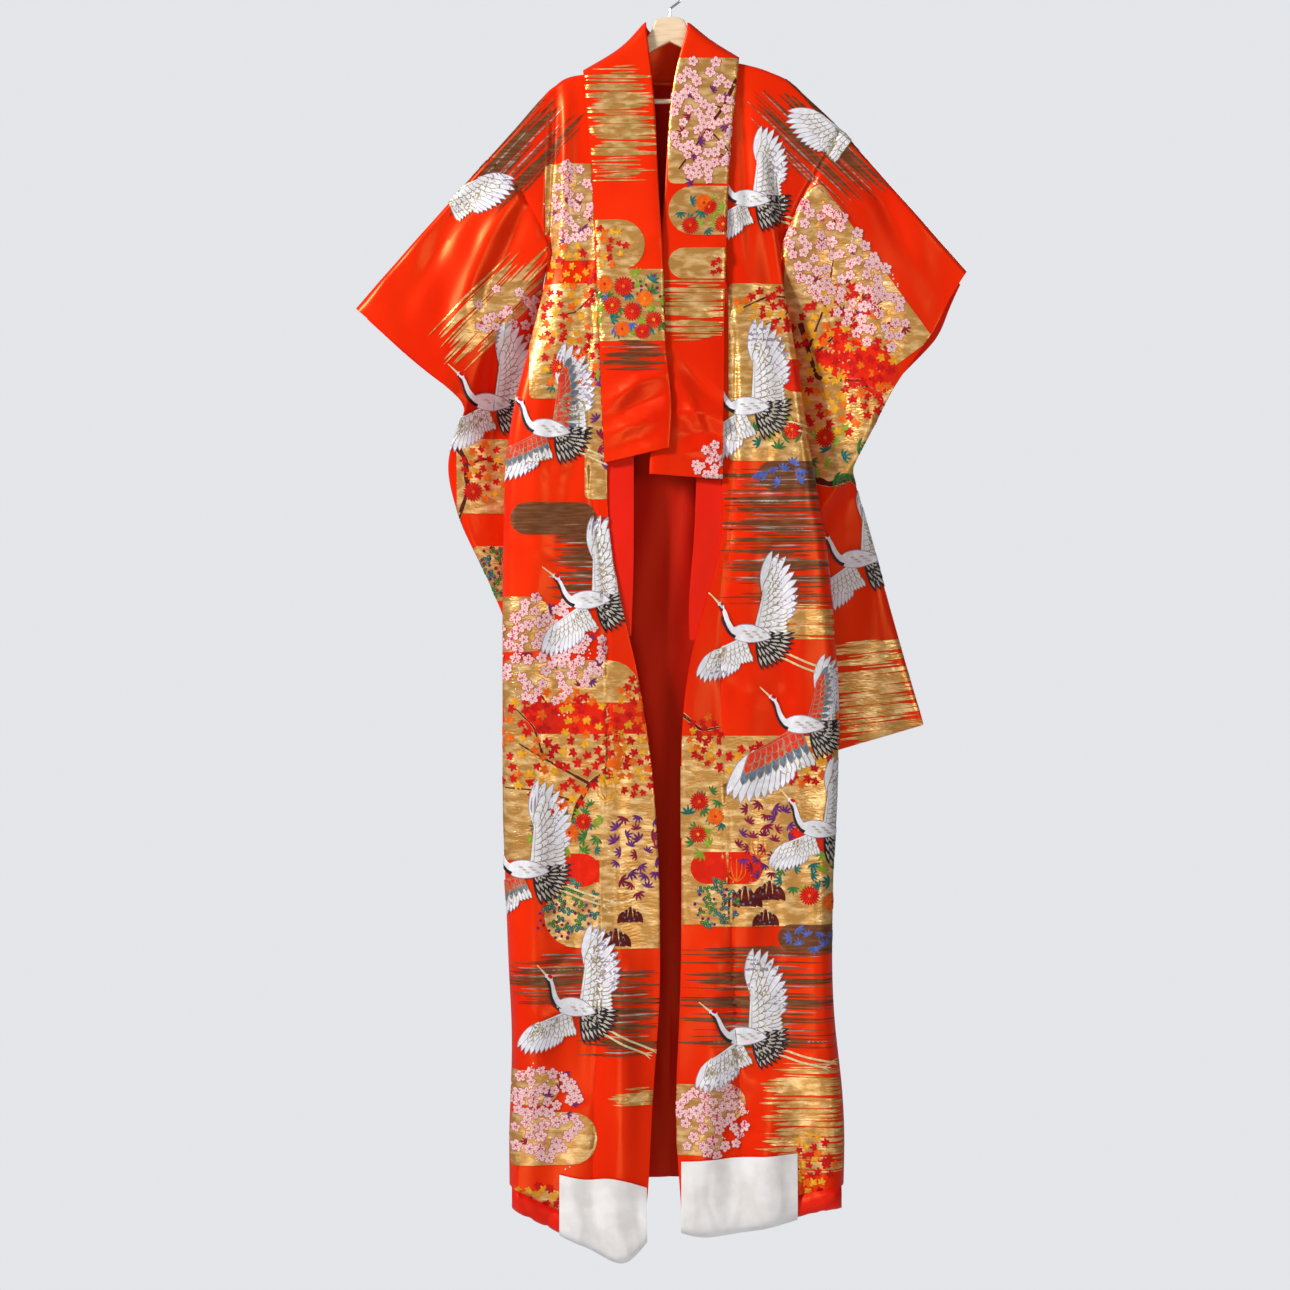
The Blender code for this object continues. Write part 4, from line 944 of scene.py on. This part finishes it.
def dark_feather(pen, start, way, reach, rise):
    """A feather with a broad black edge and a pale middle."""
    pen.blade(start, toward(start, way, reach), 10, "feather", "black_silk", 0.04, rise, 0.02)
    middle = toward(start, way, 0.25 * reach)
    pen.blade(middle, toward(start, way, reach - 6), 5.2, "leaf", "cream_silk", 0.04, rise + 0.07, 0.02)


def crane(pen, angle, up, low, up_coverts, low_coverts):
    """A flying crane, head to the left, by its upper wing's angle and both wings' lengths."""
    for start, end in (((52, 24), (130, 50)), ((50, 33), (118, 57))):
        middle = ((start[0] + end[0]) / 2, (start[1] + end[1]) / 2 + 2)
        pen.line([start, middle, end], 3.2, "straw_silk", "thread")
        for toe in (-14, 10, 34):
            pen.blade(end, toward(end, toe, 13), 2.6, "stalk", "straw_silk")
    wing(pen, (-12, 8), LOW_ANGLE, low, *LOW_FAN, low_coverts)
    wing(pen, (7, -7), angle, up, *UP_FAN, up_coverts)
    for ring, (count, reach) in enumerate(((11, 60), (9, 44), (6, 29))):
        for i in range(count):
            way = -6 + 86 * i / (count - 1)
            dark_feather(pen, (12, -1), way, reach - 3 * abs(i - count / 2) / count, 0.3 + 0.2 * ring)
    pen.blade((-34, 1), (34, 4), 30, "body", "lilac_line", -0.04, 1.1)
    pen.blade((-33, 1), (32, 4), 27.5, "body", "white_silk", -0.04, 1.42)
    for i in range(7):
        mark = (-14 + 5 * i, -4 + 4 * (i % 3))
        pen.blade(mark, toward(mark, 8, 9), 3.4, "leaf", "cream_silk", 0, 1.55)
    pen.line([(-20, 0), (-30, -4), (-38, -17), (-43, -34), (-50, -43)], 10, "white_silk", rise=1.44)
    pen.line([(-24, 7), (-34, 2), (-42, -12), (-46, -28), (-54, -41)], 5.4, "black_silk", rise=1.58)
    pen.blade((-43, -38), (-56, -46), 8.4, "oval", "white_silk", rise=1.52)
    pen.blade((-44, -41), (-52, -46), 5.4, "oval", "red_silk", rise=1.66)
    pen.blade((-52, -43), (-70, -60), 4, "stalk", "straw_silk", rise=1.5)


def blossom(pen, place, size, turn):
    """Five round petals with fine lines, and a small centre."""
    for i in range(5):
        way = turn + 72 * i
        pen.blade(place, toward(place, way, 0.98 * size), 0.94 * size, "petal", "rose_line")
        pen.blade(place, toward(place, way, 0.9 * size), 0.78 * size, "petal", "blush_silk", rise=0.06)
        pen.blade(place, toward(place, way, 0.6 * size), 0.1 * size, "stalk", "rose_line", rise=0.12)
    pen.dot(place, 0.3 * size, "rose_line", rise=0.14)


def maple(pen, place, size, turn, colour):
    for way, reach in ((0, 1.0), (52, 0.86), (-52, 0.86), (104, 0.62), (-104, 0.62)):
        pen.blade(place, toward(place, turn + way, reach * size), 0.42 * size, "leaf", colour)
    pen.blade(place, toward(place, turn + 180, 0.5 * size), 0.09 * size, "stalk", colour)


def leaf_fan(pen, place, size, turn, colour):
    for i in range(5):
        reach = size * (1 - 0.09 * abs(i - 2))
        pen.blade(place, toward(place, turn + 34 * (i - 2), reach), 0.24 * size, "leaf", colour)


def chrysanthemum(pen, place, size, turn, colour, line):
    """Three rings of narrow petals, each on a disc of the line colour."""
    for step, (ring, count) in enumerate(((1.0, 20), (0.72, 16), (0.44, 10))):
        rise = 0.14 * step
        pen.dot(place, 1.7 * ring * size, line, rise)
        for i in range(count):
            way = turn + 360 * (i + ring) / count
            inner = toward(place, way, 0.2 * ring * size)
            tip = toward(place, way, 1.04 * ring * size)
            pen.blade(inner, tip, 5.2 * ring * size / count, "petal", colour, rise=rise + 0.06)
    pen.dot(place, 0.36 * size, line, 0.42)


def clover(pen, place, size, turn, colour):
    for way in (0, 120, 240):
        pen.blade(place, toward(place, turn + way, 1.1 * size), 0.8 * size, "oval", colour)
        pen.dot(toward(place, turn + way, 0.55 * size), 0.2 * size, "gold_line", 0.08)


def buds(pen, place, size, turn, colour):
    for i in range(5):
        spot = toward(place, turn + 40 * i, size * (0.5 + 0.28 * i))
        pen.dot(spot, 0.34 * size, colour)


def berries(pen, place, size, turn, colour):
    pen.dot(place, 0.9 * size, colour)


def grass(pen, place, size, turn, colour):
    for i in range(5):
        way = turn - 90 + 13 * (i - 2)
        reach = size * (1 - 0.1 * abs(i - 2))
        pen.blade(place, toward(place, way, reach), 0.07 * size, "stalk", colour, 0.12 * (i - 2))


def rock(pen, place, size, turn, colour):
    for i in range(5):
        foot = (place[0] + size * 0.32 * (i - 2), place[1] + size * 0.5)
        top = (foot[0] + size * 0.1 * (2 - i), place[1] - size * (0.5 - 0.16 * abs(i - 2)))
        pen.blade(foot, top, 0.42 * size, "stalk", colour, 0.08 * (i - 2))
    for i in range(7):
        pen.dot(toward(place, turn + 51 * i, 0.4 * size), 0.13 * size, "slate_silk", 0.08)


MOTIFS = {
    "blossom": (blossom, None),
    "maple": (maple, ("red_silk", "red_silk", "orange_silk", "amber_silk")),
    "purple_fan": (leaf_fan, ("violet_silk", "plum_silk")),
    "plum_fan": (leaf_fan, ("plum_silk", "maroon_silk")),
    "blue_fan": (leaf_fan, ("blue_silk",)),
    "green_fan": (leaf_fan, ("leaf_silk", "lime_silk", "teal_silk")),
    "clover": (clover, ("teal_silk", "leaf_silk", "teal_silk")),
    "violet_dots": (berries, ("violet_silk", "plum_silk")),
    "buds": (buds, ("white_silk",)),
    "grass": (grass, ("orange_silk", "amber_silk")),
    "rock": (rock, ("maroon_silk",)),
}


def scatter(drawing, kind, on, across, drop, wide, tall, count, size, turn=0):
    """Motifs of one kind spread over an oval patch, none too near the last ones."""
    draw, colours = MOTIFS[kind]
    spread = random.Random(f"{kind} {across} {drop} 0")
    spots = []
    for _ in range(60 * count):
        way, far = spread.uniform(0, 2 * math.pi), math.sqrt(spread.random())
        x, y = wide / 2 * far * math.cos(way), tall / 2 * far * math.sin(way)
        if all(math.hypot(x - a, y - b) > APART * size for a, b in spots):
            spots.append((x, y))
        if len(spots) == count:
            break
    level = LEVELS["low" if kind in LOW_MOTIFS else "motif"]
    pen = Pen(drawing, on, (across, drop), turn=turn, level=level)
    for x, y in spots:
        scale = size * spread.uniform(0.85, 1.15)
        given = () if colours is None else (spread.choice(colours),)
        draw(pen, (x, y), scale, spread.uniform(0, 360) if kind not in ("grass", "rock") else 0, *given)


def band_grid(x0, x1, y0, y1, corner):
    """A level band with rounded corners."""
    corner = min(corner, (x1 - x0) / 2, (y1 - y0) / 2)
    turn = np.linspace(0, math.pi / 2, 6)
    ends = corner * (1 - np.cos(turn))
    straight = np.linspace(y0 + corner, y1 - corner, max(2, math.ceil((y1 - y0 - 2 * corner) / CELL) + 1))
    down = np.concatenate([y0 + ends[:-1], straight, y1 - ends[:-1][::-1]])
    away = np.clip(np.maximum(y0 + corner - down, down - (y1 - corner)) / corner, 0, 1)
    inset = corner * (1 - np.sqrt(1 - away**2))
    u = np.linspace(0, 1, max(4, math.ceil((x1 - x0) / CELL)) + 1)
    across = (x0 + inset)[:, None] + (x1 - x0 - 2 * inset)[:, None] * u
    return np.stack([across, down[:, None] + 0 * across], axis=2)


def mist(pen, x0, x1, y0, y1, colour, seed):
    """A band of woven mist: fine level streaks, close in the middle, with ragged ends."""
    spread = random.Random(f"mist {x0} {y0} {seed}")
    tall, wide = y1 - y0, x1 - x0
    y = y0
    while y < y1:
        depth = min(1, max(0, (y - y0) / tall))
        full = spread.random() < MIST_FULL[colour] * math.sin(math.pi * depth)
        thick, reach = (spread.uniform(*limits) for limits in STREAKS[full])
        middle = (x0 + x1) / 2 + spread.uniform(-0.12, 0.12) * wide
        lean = spread.uniform(-1.2, 1.2)
        tone = "silver_mist" if colour == "brown_mist" and not full and spread.random() < 0.3 else colour
        start, end = (middle - reach * wide / 2, y - lean), (middle + reach * wide / 2, y + lean)
        pen.blade(start, end, thick * 1.2, "streak", tone, rise=spread.uniform(0, 0.1))
        y += thick * spread.uniform(0.7, 1.25 if full else 3.0)


def zone(drawing, order, on, kind, x0, x1, y0, y1, turn=0):
    """A block, lobe or mist of one tone. A bare red patch left in a gold ground lies clear over it."""
    tone, form = kind.split("_")
    middle = ((x0 + x1) / 2, (y0 + y1) / 2)
    pen = Pen(drawing, on, middle, turn=turn, level=LEVELS["red"] if tone == "red" else order * STEP)
    half_wide, half_tall = (x1 - x0) / 2, (y1 - y0) / 2
    box = (-half_wide, half_wide, -half_tall, half_tall)
    if form == "mist":
        mist(pen, *box, ZONE_COLOURS[tone], order)
    else:
        pen.put(band_grid(*box, LOBE_CORNER if form == "lobe" else BLOCK_CORNER), ZONE_COLOURS[tone])


def pattern_material(name, colour, deep, grain=120, rough=0.5, metal=0.0, relief=0.3):
    """Woven or stitched thread: its colour wanders between two tones in small ridges; on woven gold the paler
    tone is painted highlight.
    """
    grain = grain if isinstance(grain, tuple) else (grain, grain, grain)
    made, tree, shader = shade(name, colour, rough, metal=metal)
    glossed(shader, THREAD_SHINE, tuple(0.3 + 0.7 * part / max(colour) for part in colour))
    # Mixes the two tones; on the woven gold the paler tone is painted highlight
    tone = noise_at(tree, grain, 1.0, 4.0)
    tree.links.new(ramp(tree, tone, (0.45, deep), (0.66, colour)), shader.inputs["Base Color"])
    ridges = noise_at(tree, tuple(3 * scale for scale in grain), 1.0, 2.0)
    bump(tree, shader, ridges, relief, 0.001)
    return made


class Cloth:
    """All the cloth as one surface: what a drawing meets first from the front (-1) or from behind (1)."""

    def __init__(self, pieces):
        points, normals, faces, owners = [], [], [], []
        start = 0
        self.names = list(pieces)
        for index, name in enumerate(self.names):
            mesh = pieces[name].data
            mesh.calc_loop_triangles()
            corners = np.empty(len(mesh.loop_triangles) * 3, np.int32)
            mesh.loop_triangles.foreach_get("vertices", corners)
            slopes = np.empty(len(mesh.vertices) * 3)
            mesh.vertex_normals.foreach_get("vector", slopes)
            points.append(points_of(mesh))
            normals.append(slopes.reshape(-1, 3))
            faces.append(corners.reshape(-1, 3) + start)
            owners.append(np.full(len(corners) // 3, index))
            start += len(mesh.vertices)
        self.points, self.normals = np.concatenate(points), np.concatenate(normals)
        self.faces, self.owners = np.concatenate(faces), np.concatenate(owners)
        self.tree = BVHTree.FromPolygons(self.points.tolist(), self.faces.tolist())

    def meet(self, across, drop, side):
        """Depth, node and face where a level ray meets the cloth, or None."""
        start = Vector((-side * across * MM, side * 1.0, -drop * MM))
        place, _, face, _ = self.tree.ray_cast(start, Vector((0, -side, 0)))
        if face is None:
            return None
        return place.y, self.names[self.owners[face]], face

    def slope(self, face, place):
        """The smooth cloth's normal at a point of a face."""
        corners = self.points[self.faces[face]]
        a, b, c = corners
        v0, v1, v2 = b - a, c - a, place - a
        d00, d01, d11 = v0 @ v0, v0 @ v1, v1 @ v1
        d20, d21 = v2 @ v0, v2 @ v1
        share = d00 * d11 - d01 * d01
        v = (d11 * d20 - d01 * d21) / share if share else 0
        w = (d00 * d21 - d01 * d20) / share if share else 0
        normals = self.normals[self.faces[face]]
        mixed = normals[0] * (1 - v - w) + normals[1] * v + normals[2] * w
        return mixed / (np.linalg.norm(mixed) or 1)


class Laying:
    """Lays drawings on the cloth and gathers their faces by node and colour."""

    def __init__(self, cloth):
        self.cloth = cloth
        self.points, self.normals = [], []
        self.faces = {}

    def lay(self, drawing, side):
        self.side = side
        for grid, colour, level, on in drawing:
            self.known, self.on, self.level = {}, ON[on], level
            rows, lanes = grid.shape[:2]
            corners = grid.reshape(-1, grid.shape[2]).tolist()
            for i in range(rows - 1):
                for j in range(lanes - 1):
                    first = i * lanes + j
                    quad = [corners[k] for k in (first, first + 1, first + lanes + 1, first + lanes)]
                    self.patch(quad, colour, MOST_SPLITS)

    def spot(self, corner):
        """The cloth point under a drawing's corner: its depth, node and index, kept for the neighbours."""
        key = (round(corner[0], 2), round(corner[1], 2))
        if key not in self.known:
            met = self.cloth.meet(corner[0], corner[1], self.side)
            if met is None or met[1] not in self.on:
                self.known[key] = None
            else:
                self.known[key] = self.place(corner, *met)
        return self.known[key]

    def place(self, corner, depth, node, face):
        at = np.array((-self.side * corner[0] * MM, depth, -corner[1] * MM))
        normal = self.cloth.slope(face, at)
        if normal[1] * self.side < STEEPEST:
            return None
        lift = (LIFT + self.level + (corner[2] if len(corner) > 2 else 0)) * MM
        self.points.append(at + normal * lift)
        self.normals.append(normal)
        return depth, node, len(self.points) - 1

    def patch(self, quad, colour, splits):
        """Keeps a four-sided piece that lies flat enough on the cloth, or splits it into four."""
        spots = [self.spot(corner) for corner in quad]
        found = [spot for spot in spots if spot]
        if not found:
            return
        if len(found) == 4 and (splits == 0 or self.flat(quad, spots)):
            depths, nodes, places = zip(*spots)
            if max(depths) - min(depths) < MOST_STEP * MM:
                self.faces.setdefault(nodes[0], {}).setdefault(colour, []).append(list(places))
                return
        if splits == 0:
            return
        a, b, c, d = (np.array(corner) for corner in quad)
        ab, bc, cd, da, middle = (a + b) / 2, (b + c) / 2, (c + d) / 2, (d + a) / 2, (a + b + c + d) / 4
        for part in ((a, ab, middle, da), (ab, b, bc, middle), (middle, bc, c, cd), (da, middle, cd, d)):
            self.patch([corner.tolist() for corner in part], colour, splits - 1)

    def flat(self, quad, spots):
        """Whether the cloth under the middle of a piece stays behind it."""
        across, drop = (sum(corner[axis] for corner in quad) / 4 for axis in (0, 1))
        met = self.cloth.meet(across, drop, self.side)
        if met is None or met[1] not in self.on:
            return False
        middle = sum(spot[0] for spot in spots) / 4
        return self.side * (met[0] - middle) < MOST_HIDDEN * MM

    def pieces(self, materials):
        """One piece of pattern for each node that it lies on."""
        points, normals = np.array(self.points), np.array(self.normals)
        made = {}
        for node, colours in self.faces.items():
            names = sorted(colours)
            faces = np.concatenate([colours[name] for name in names])
            kept, faces = np.unique(faces, return_inverse=True)
            faces = faces.reshape(-1, 4)
            corners = points[kept][faces]
            facing = np.cross(corners[:, 2] - corners[:, 0], corners[:, 3] - corners[:, 1])
            inward = np.einsum("ij,ij->i", facing, normals[kept][faces].mean(axis=1)) < 0
            faces[inward] = faces[inward][:, ::-1]
            which = np.repeat(np.arange(len(names)), [len(colours[name]) for name in names])
            outlines = [list(dict.fromkeys(face)) for face in faces.tolist()]
            whole = [index for index, outline in enumerate(outlines) if len(outline) > 2]
            mesh = bpy.data.meshes.new(f"pattern_{node}")
            mesh.from_pydata(points[kept].tolist(), [], [outlines[index] for index in whole])
            for name in names:
                mesh.materials.append(materials[name])
            mesh.polygons.foreach_set("material_index", which[whole].astype(np.int32))
            mesh.polygons.foreach_set("use_smooth", np.ones(len(whole), bool))
            mesh.normals_split_custom_set_from_vertices(normals[kept].tolist())
            piece = bpy.data.objects.new(f"pattern_{node}", mesh)
            bpy.context.scene.collection.objects.link(piece)
            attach(piece, "root")
            made[node] = piece
        return made


def both_sides(rows):
    """A table's rows, once for each side where their names have {}."""
    for row in rows:
        for side in SIDES if "{}" in row[0] else SIDES[:1]:
            yield [part.format(side) if isinstance(part, str) else part for part in row]


def close_seam(made, near, reach):
    """Moves the border points of a piece onto its neighbour where the two are sewn."""
    other = BVHTree.FromObject(near, bpy.context.evaluated_depsgraph_get())
    points = points_of(made.data)
    for index, place in enumerate(points):
        spot, _, _, far = other.find_nearest(Vector(place), reach * MM)
        if spot is None or far < SEAM_CLOSED * MM:
            continue
        share = min(1.0, SEAM_PULL * (1 - far / (reach * MM)))
        points[index] = np.array(place) + share * (np.array(spot) - place)
    put_points(made.data, points)


def sink_seam(made, near, depth):
    """Presses the sewn border of a piece in, so that the seam shows as a soft line."""
    other = BVHTree.FromObject(near, bpy.context.evaluated_depsgraph_get())
    points = points_of(made.data)
    for index, place in enumerate(points):
        far = other.find_nearest(Vector(place), SUNK_REACH * MM)[3]
        if far is not None:
            points[index][1] += depth * MM * math.exp(-((far / (SUNK_WIDTH * MM)) ** 2))
    return points


def distance_along(points, line):
    """How far points (across, drop) are from a line of points, and where along it the nearest place is."""
    line = np.array(line, float)
    lengths = np.concatenate([[0], np.cumsum(np.linalg.norm(np.diff(line, axis=0), axis=1))])
    best = np.full(len(points), 1e9)
    along = np.zeros(len(points))
    for start, end, at, next_at in zip(line, line[1:], lengths, lengths[1:]):
        way = end - start
        share = np.clip(((points - start) @ way) / (way @ way), 0, 1)
        far = np.linalg.norm(points - (start + share[:, None] * way), axis=1)
        nearer = far < best
        best[nearer] = far[nearer]
        along[nearer] = (at + share * (next_at - at))[nearer] / lengths[-1]
    return best, along


def crease_field(flat, creases):
    """Depth that the listed creases and folds add at points (across, drop), in mm towards the viewer."""
    depth = np.zeros(len(flat))
    for line, width, height in creases:
        far, along = distance_along(flat, line)
        ends = np.clip(np.sin(math.pi * np.clip(along, 0.02, 0.98)), 0, 1) ** 0.5
        depth += height * np.exp(-((far / width) ** 2)) * ends
    return depth


def waves(flat, amount, seed):
    """Slow unevenness of hanging cloth: waves down the cloth, each with its own lean."""
    spread = random.Random(seed)
    depth = np.zeros(len(flat))
    for _ in range(WAVES):
        length = spread.uniform(*WAVE_LENGTH)
        lean = spread.uniform(-WAVE_LEAN, WAVE_LEAN)
        start = spread.uniform(0, 2 * math.pi)
        drift = spread.uniform(*WAVE_DRIFT)
        swell = 0.5 + 0.5 * np.sin(flat[:, 1] / drift * 2 * math.pi + start * 3)
        depth += amount / 3 * swell * np.sin((flat[:, 0] + lean * flat[:, 1]) / length * 2 * math.pi + start)
    return depth


def creased(piece, side, creases, amount, seed, fade):
    """Presses creases and waves into a piece seen from the front (-1) or from behind (1)."""
    points = points_of(piece.data)
    flat = np.stack([points[:, 0], -points[:, 2]], axis=1) / MM
    depth = crease_field(flat, creases) + waves(flat, amount, seed) * fade(flat)
    points[:, 1] += side * depth * MM
    put_points(piece.data, points)


def draw(zones, cranes, wings, motifs, flowers, branches):
    """One side's whole drawing, from what lies lowest to what lies highest."""
    drawing = []
    for order, row in enumerate((on, *row) for on, rows in zones for row in rows):
        zone(drawing, order % STEPS, *row)
    for on, width, points in branches:
        Pen(drawing, on, level=LEVELS["branch_edge"]).line(points, width + 2, "gold_line", "branch")
        Pen(drawing, on, level=LEVELS["branch"]).line(points, width, "maroon_silk", "branch")
    for row in motifs:
        scatter(drawing, *row)
    for on, across, drop, size, petal, line in flowers:
        pen = Pen(drawing, on, (across, drop), level=LEVELS["flower"])
        chrysanthemum(pen, (0, 0), size, drop, f"{petal}_silk", f"{line}_silk")
    for on, across, drop, *shape in wings:
        wing(Pen(drawing, on, (across, drop), level=LEVELS["bird"]), (0, 0), *shape, "white")
    for on, across, drop, size, turn, *shape in cranes:
        crane(Pen(drawing, on, (across, drop), size, turn, LEVELS["bird"]), *shape)
    return drawing


def make_pattern(cloth):
    laying = Laying(Cloth(cloth))
    laying.lay(draw(FRONT_ZONES, FRONT_CRANES, FRONT_WINGS, FRONT_MOTIFS, FRONT_FLOWERS, FRONT_BRANCHES), -1)
    laying.lay(draw(BACK_ZONES, BACK_CRANES, (), BACK_MOTIFS, BACK_FLOWERS, BACK_BRANCHES), 1)
    return laying.pieces({name: pattern_material(name, *tones) for name, tones in PATTERN_TONES.items()})


def steady(flat):
    """Waves fade out at the shoulder and at the side seams, and grow down the robe."""
    down = np.clip((flat[:, 1] - SHOULDER_DROP) / 700, 0, 1)
    return down * np.clip((SIDE_SEAM - np.abs(flat[:, 0])) / 60, 0, 1)


def sleeve_steady(flat):
    return 0.6 * np.clip((flat[:, 1] - SHOULDER_DROP) / 500, 0, 1)


def collar_steady(flat):
    return 0.3 + 0.7 * np.clip((flat[:, 1] - 500) / 300, 0, 1)


def puckered(piece, seed):
    """Small gathers round a padded roll, uneven in width, depth and lean."""
    spread = random.Random(seed)
    points = points_of(piece.data)
    normals = np.empty(points.size, np.float32)
    piece.data.vertices.foreach_get("normal", normals)
    across, drop = points[:, 0] / MM, -points[:, 2] / MM
    depth = np.zeros(len(points))
    middle = across.min()
    while middle < across.max():
        far = across - middle - spread.uniform(-PUCKER_LEAN, PUCKER_LEAN) * (drop - drop.mean())
        depth += spread.uniform(*PUCKER_DEPTH) * np.exp(-((far / spread.uniform(*PUCKER_WIDTH)) ** 2))
        middle += spread.uniform(*PUCKER_APART)
    put_points(piece.data, points + normals.reshape(-1, 3) * depth[:, None] * MM)


# What is pressed into which nodes: starts of their names, side, creases, depth of the waves, seed and fade
PRESSED = (
    (("front_", "lining_front", "hem_guard", "hem_roll_front"), -1, FRONT_CREASES, 7.0, "front", steady),
    (("sleeve", "cuff"), -1, SLEEVE_CREASES, 6.0, "sleeve", sleeve_steady),
    (("collar_left", "collar_right"), -1, COLLAR_CREASES, 1.6, "collar", collar_steady),
    (("back_", "lining_back", "hem_roll_back"), 1, BACK_CREASES, 7.0, "back", steady),
    (("hem_guard",), -1, GUARD_CREASES, 0.0, "guard", steady),
)


def press_creases(made):
    for node, piece in made.items():
        for starts, *press in PRESSED:
            if node.startswith(starts):
                creased(piece, *press)
        if node.startswith("hem_roll"):
            puckered(piece, node)


def longest_edge(node):
    if node.startswith("hem_"):
        return FINEST_HEM
    return FINEST_FRONT if node.startswith("front_") or node.endswith("_front") else FINEST


def make_cloth():
    face = satin("vermilion_satin", VERMILION, VERMILION_DEEP, 0.30)
    bright = satin("bright_lining", BRIGHT_RED, BRIGHT_RED_DEEP, 0.5)
    # The back lining: the lining's red cloth darkened as painted shade
    shade_painted_lining = satin("dark_lining", PAINTED_SHADE_LINING_RED, PAINTED_SHADE_LINING_RED_DEEP, 0.6)
    white = cotton("guard_cotton", (0.83, 0.80, 0.78), (0.74, 0.69, 0.66))
    looks = {node: (face, "face_satin") for node in FACE_FRONT + FACE_BACK + COLLARS + SLEEVES}
    for side in SIDES:
        for part in ("lining_front", "cuff_lining", "hem_roll_front", "hem_roll_back"):
            looks[f"{part}_{side}"] = (bright, "lining_red")
        # The back lining takes the satin with painted shade
        looks[f"lining_back_{side}"] = (shade_painted_lining, "lining_dark")
        looks[f"hem_guard_{side}"] = (white, "guard_white")
    made = {node: shell(node) for node in looks}
    for node, near in both_sides(SEAMS):
        close_seam(made[node], made[near], SEAM_REACH)
    press_creases(made)
    for node, near in both_sides(SEAMS):
        close_seam(made[node], made[near], SEAM_REACH_CREASED)
    for node, near, depth in both_sides(SUNK_SEAMS):
        sunk = sink_seam(made[node], made[near], depth), sink_seam(made[near], made[node], depth)
        put_points(made[node].data, sunk[0])
        put_points(made[near].data, sunk[1])
    for node, (material, slot) in looks.items():
        finished(made[node], material, node)
    return made


def make_hanger():
    wood = pale_wood()
    steel = plated_steel()
    for node, material in (("hanger_wood", wood), ("hanger_bar", wood), ("hanger_hook", steel)):
        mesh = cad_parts[node].data
        mesh.materials.clear()
        mesh.materials.append(material)


def declare(cloth):
    """Goes through the cloth pieces, passing over the hem rolls, and sets nothing on them."""
    for node, piece in cloth.items():
        if node.startswith("hem_roll"):
            continue


studio()
cloth = make_cloth()
pattern = make_pattern(cloth)
make_hanger()
declare(cloth)
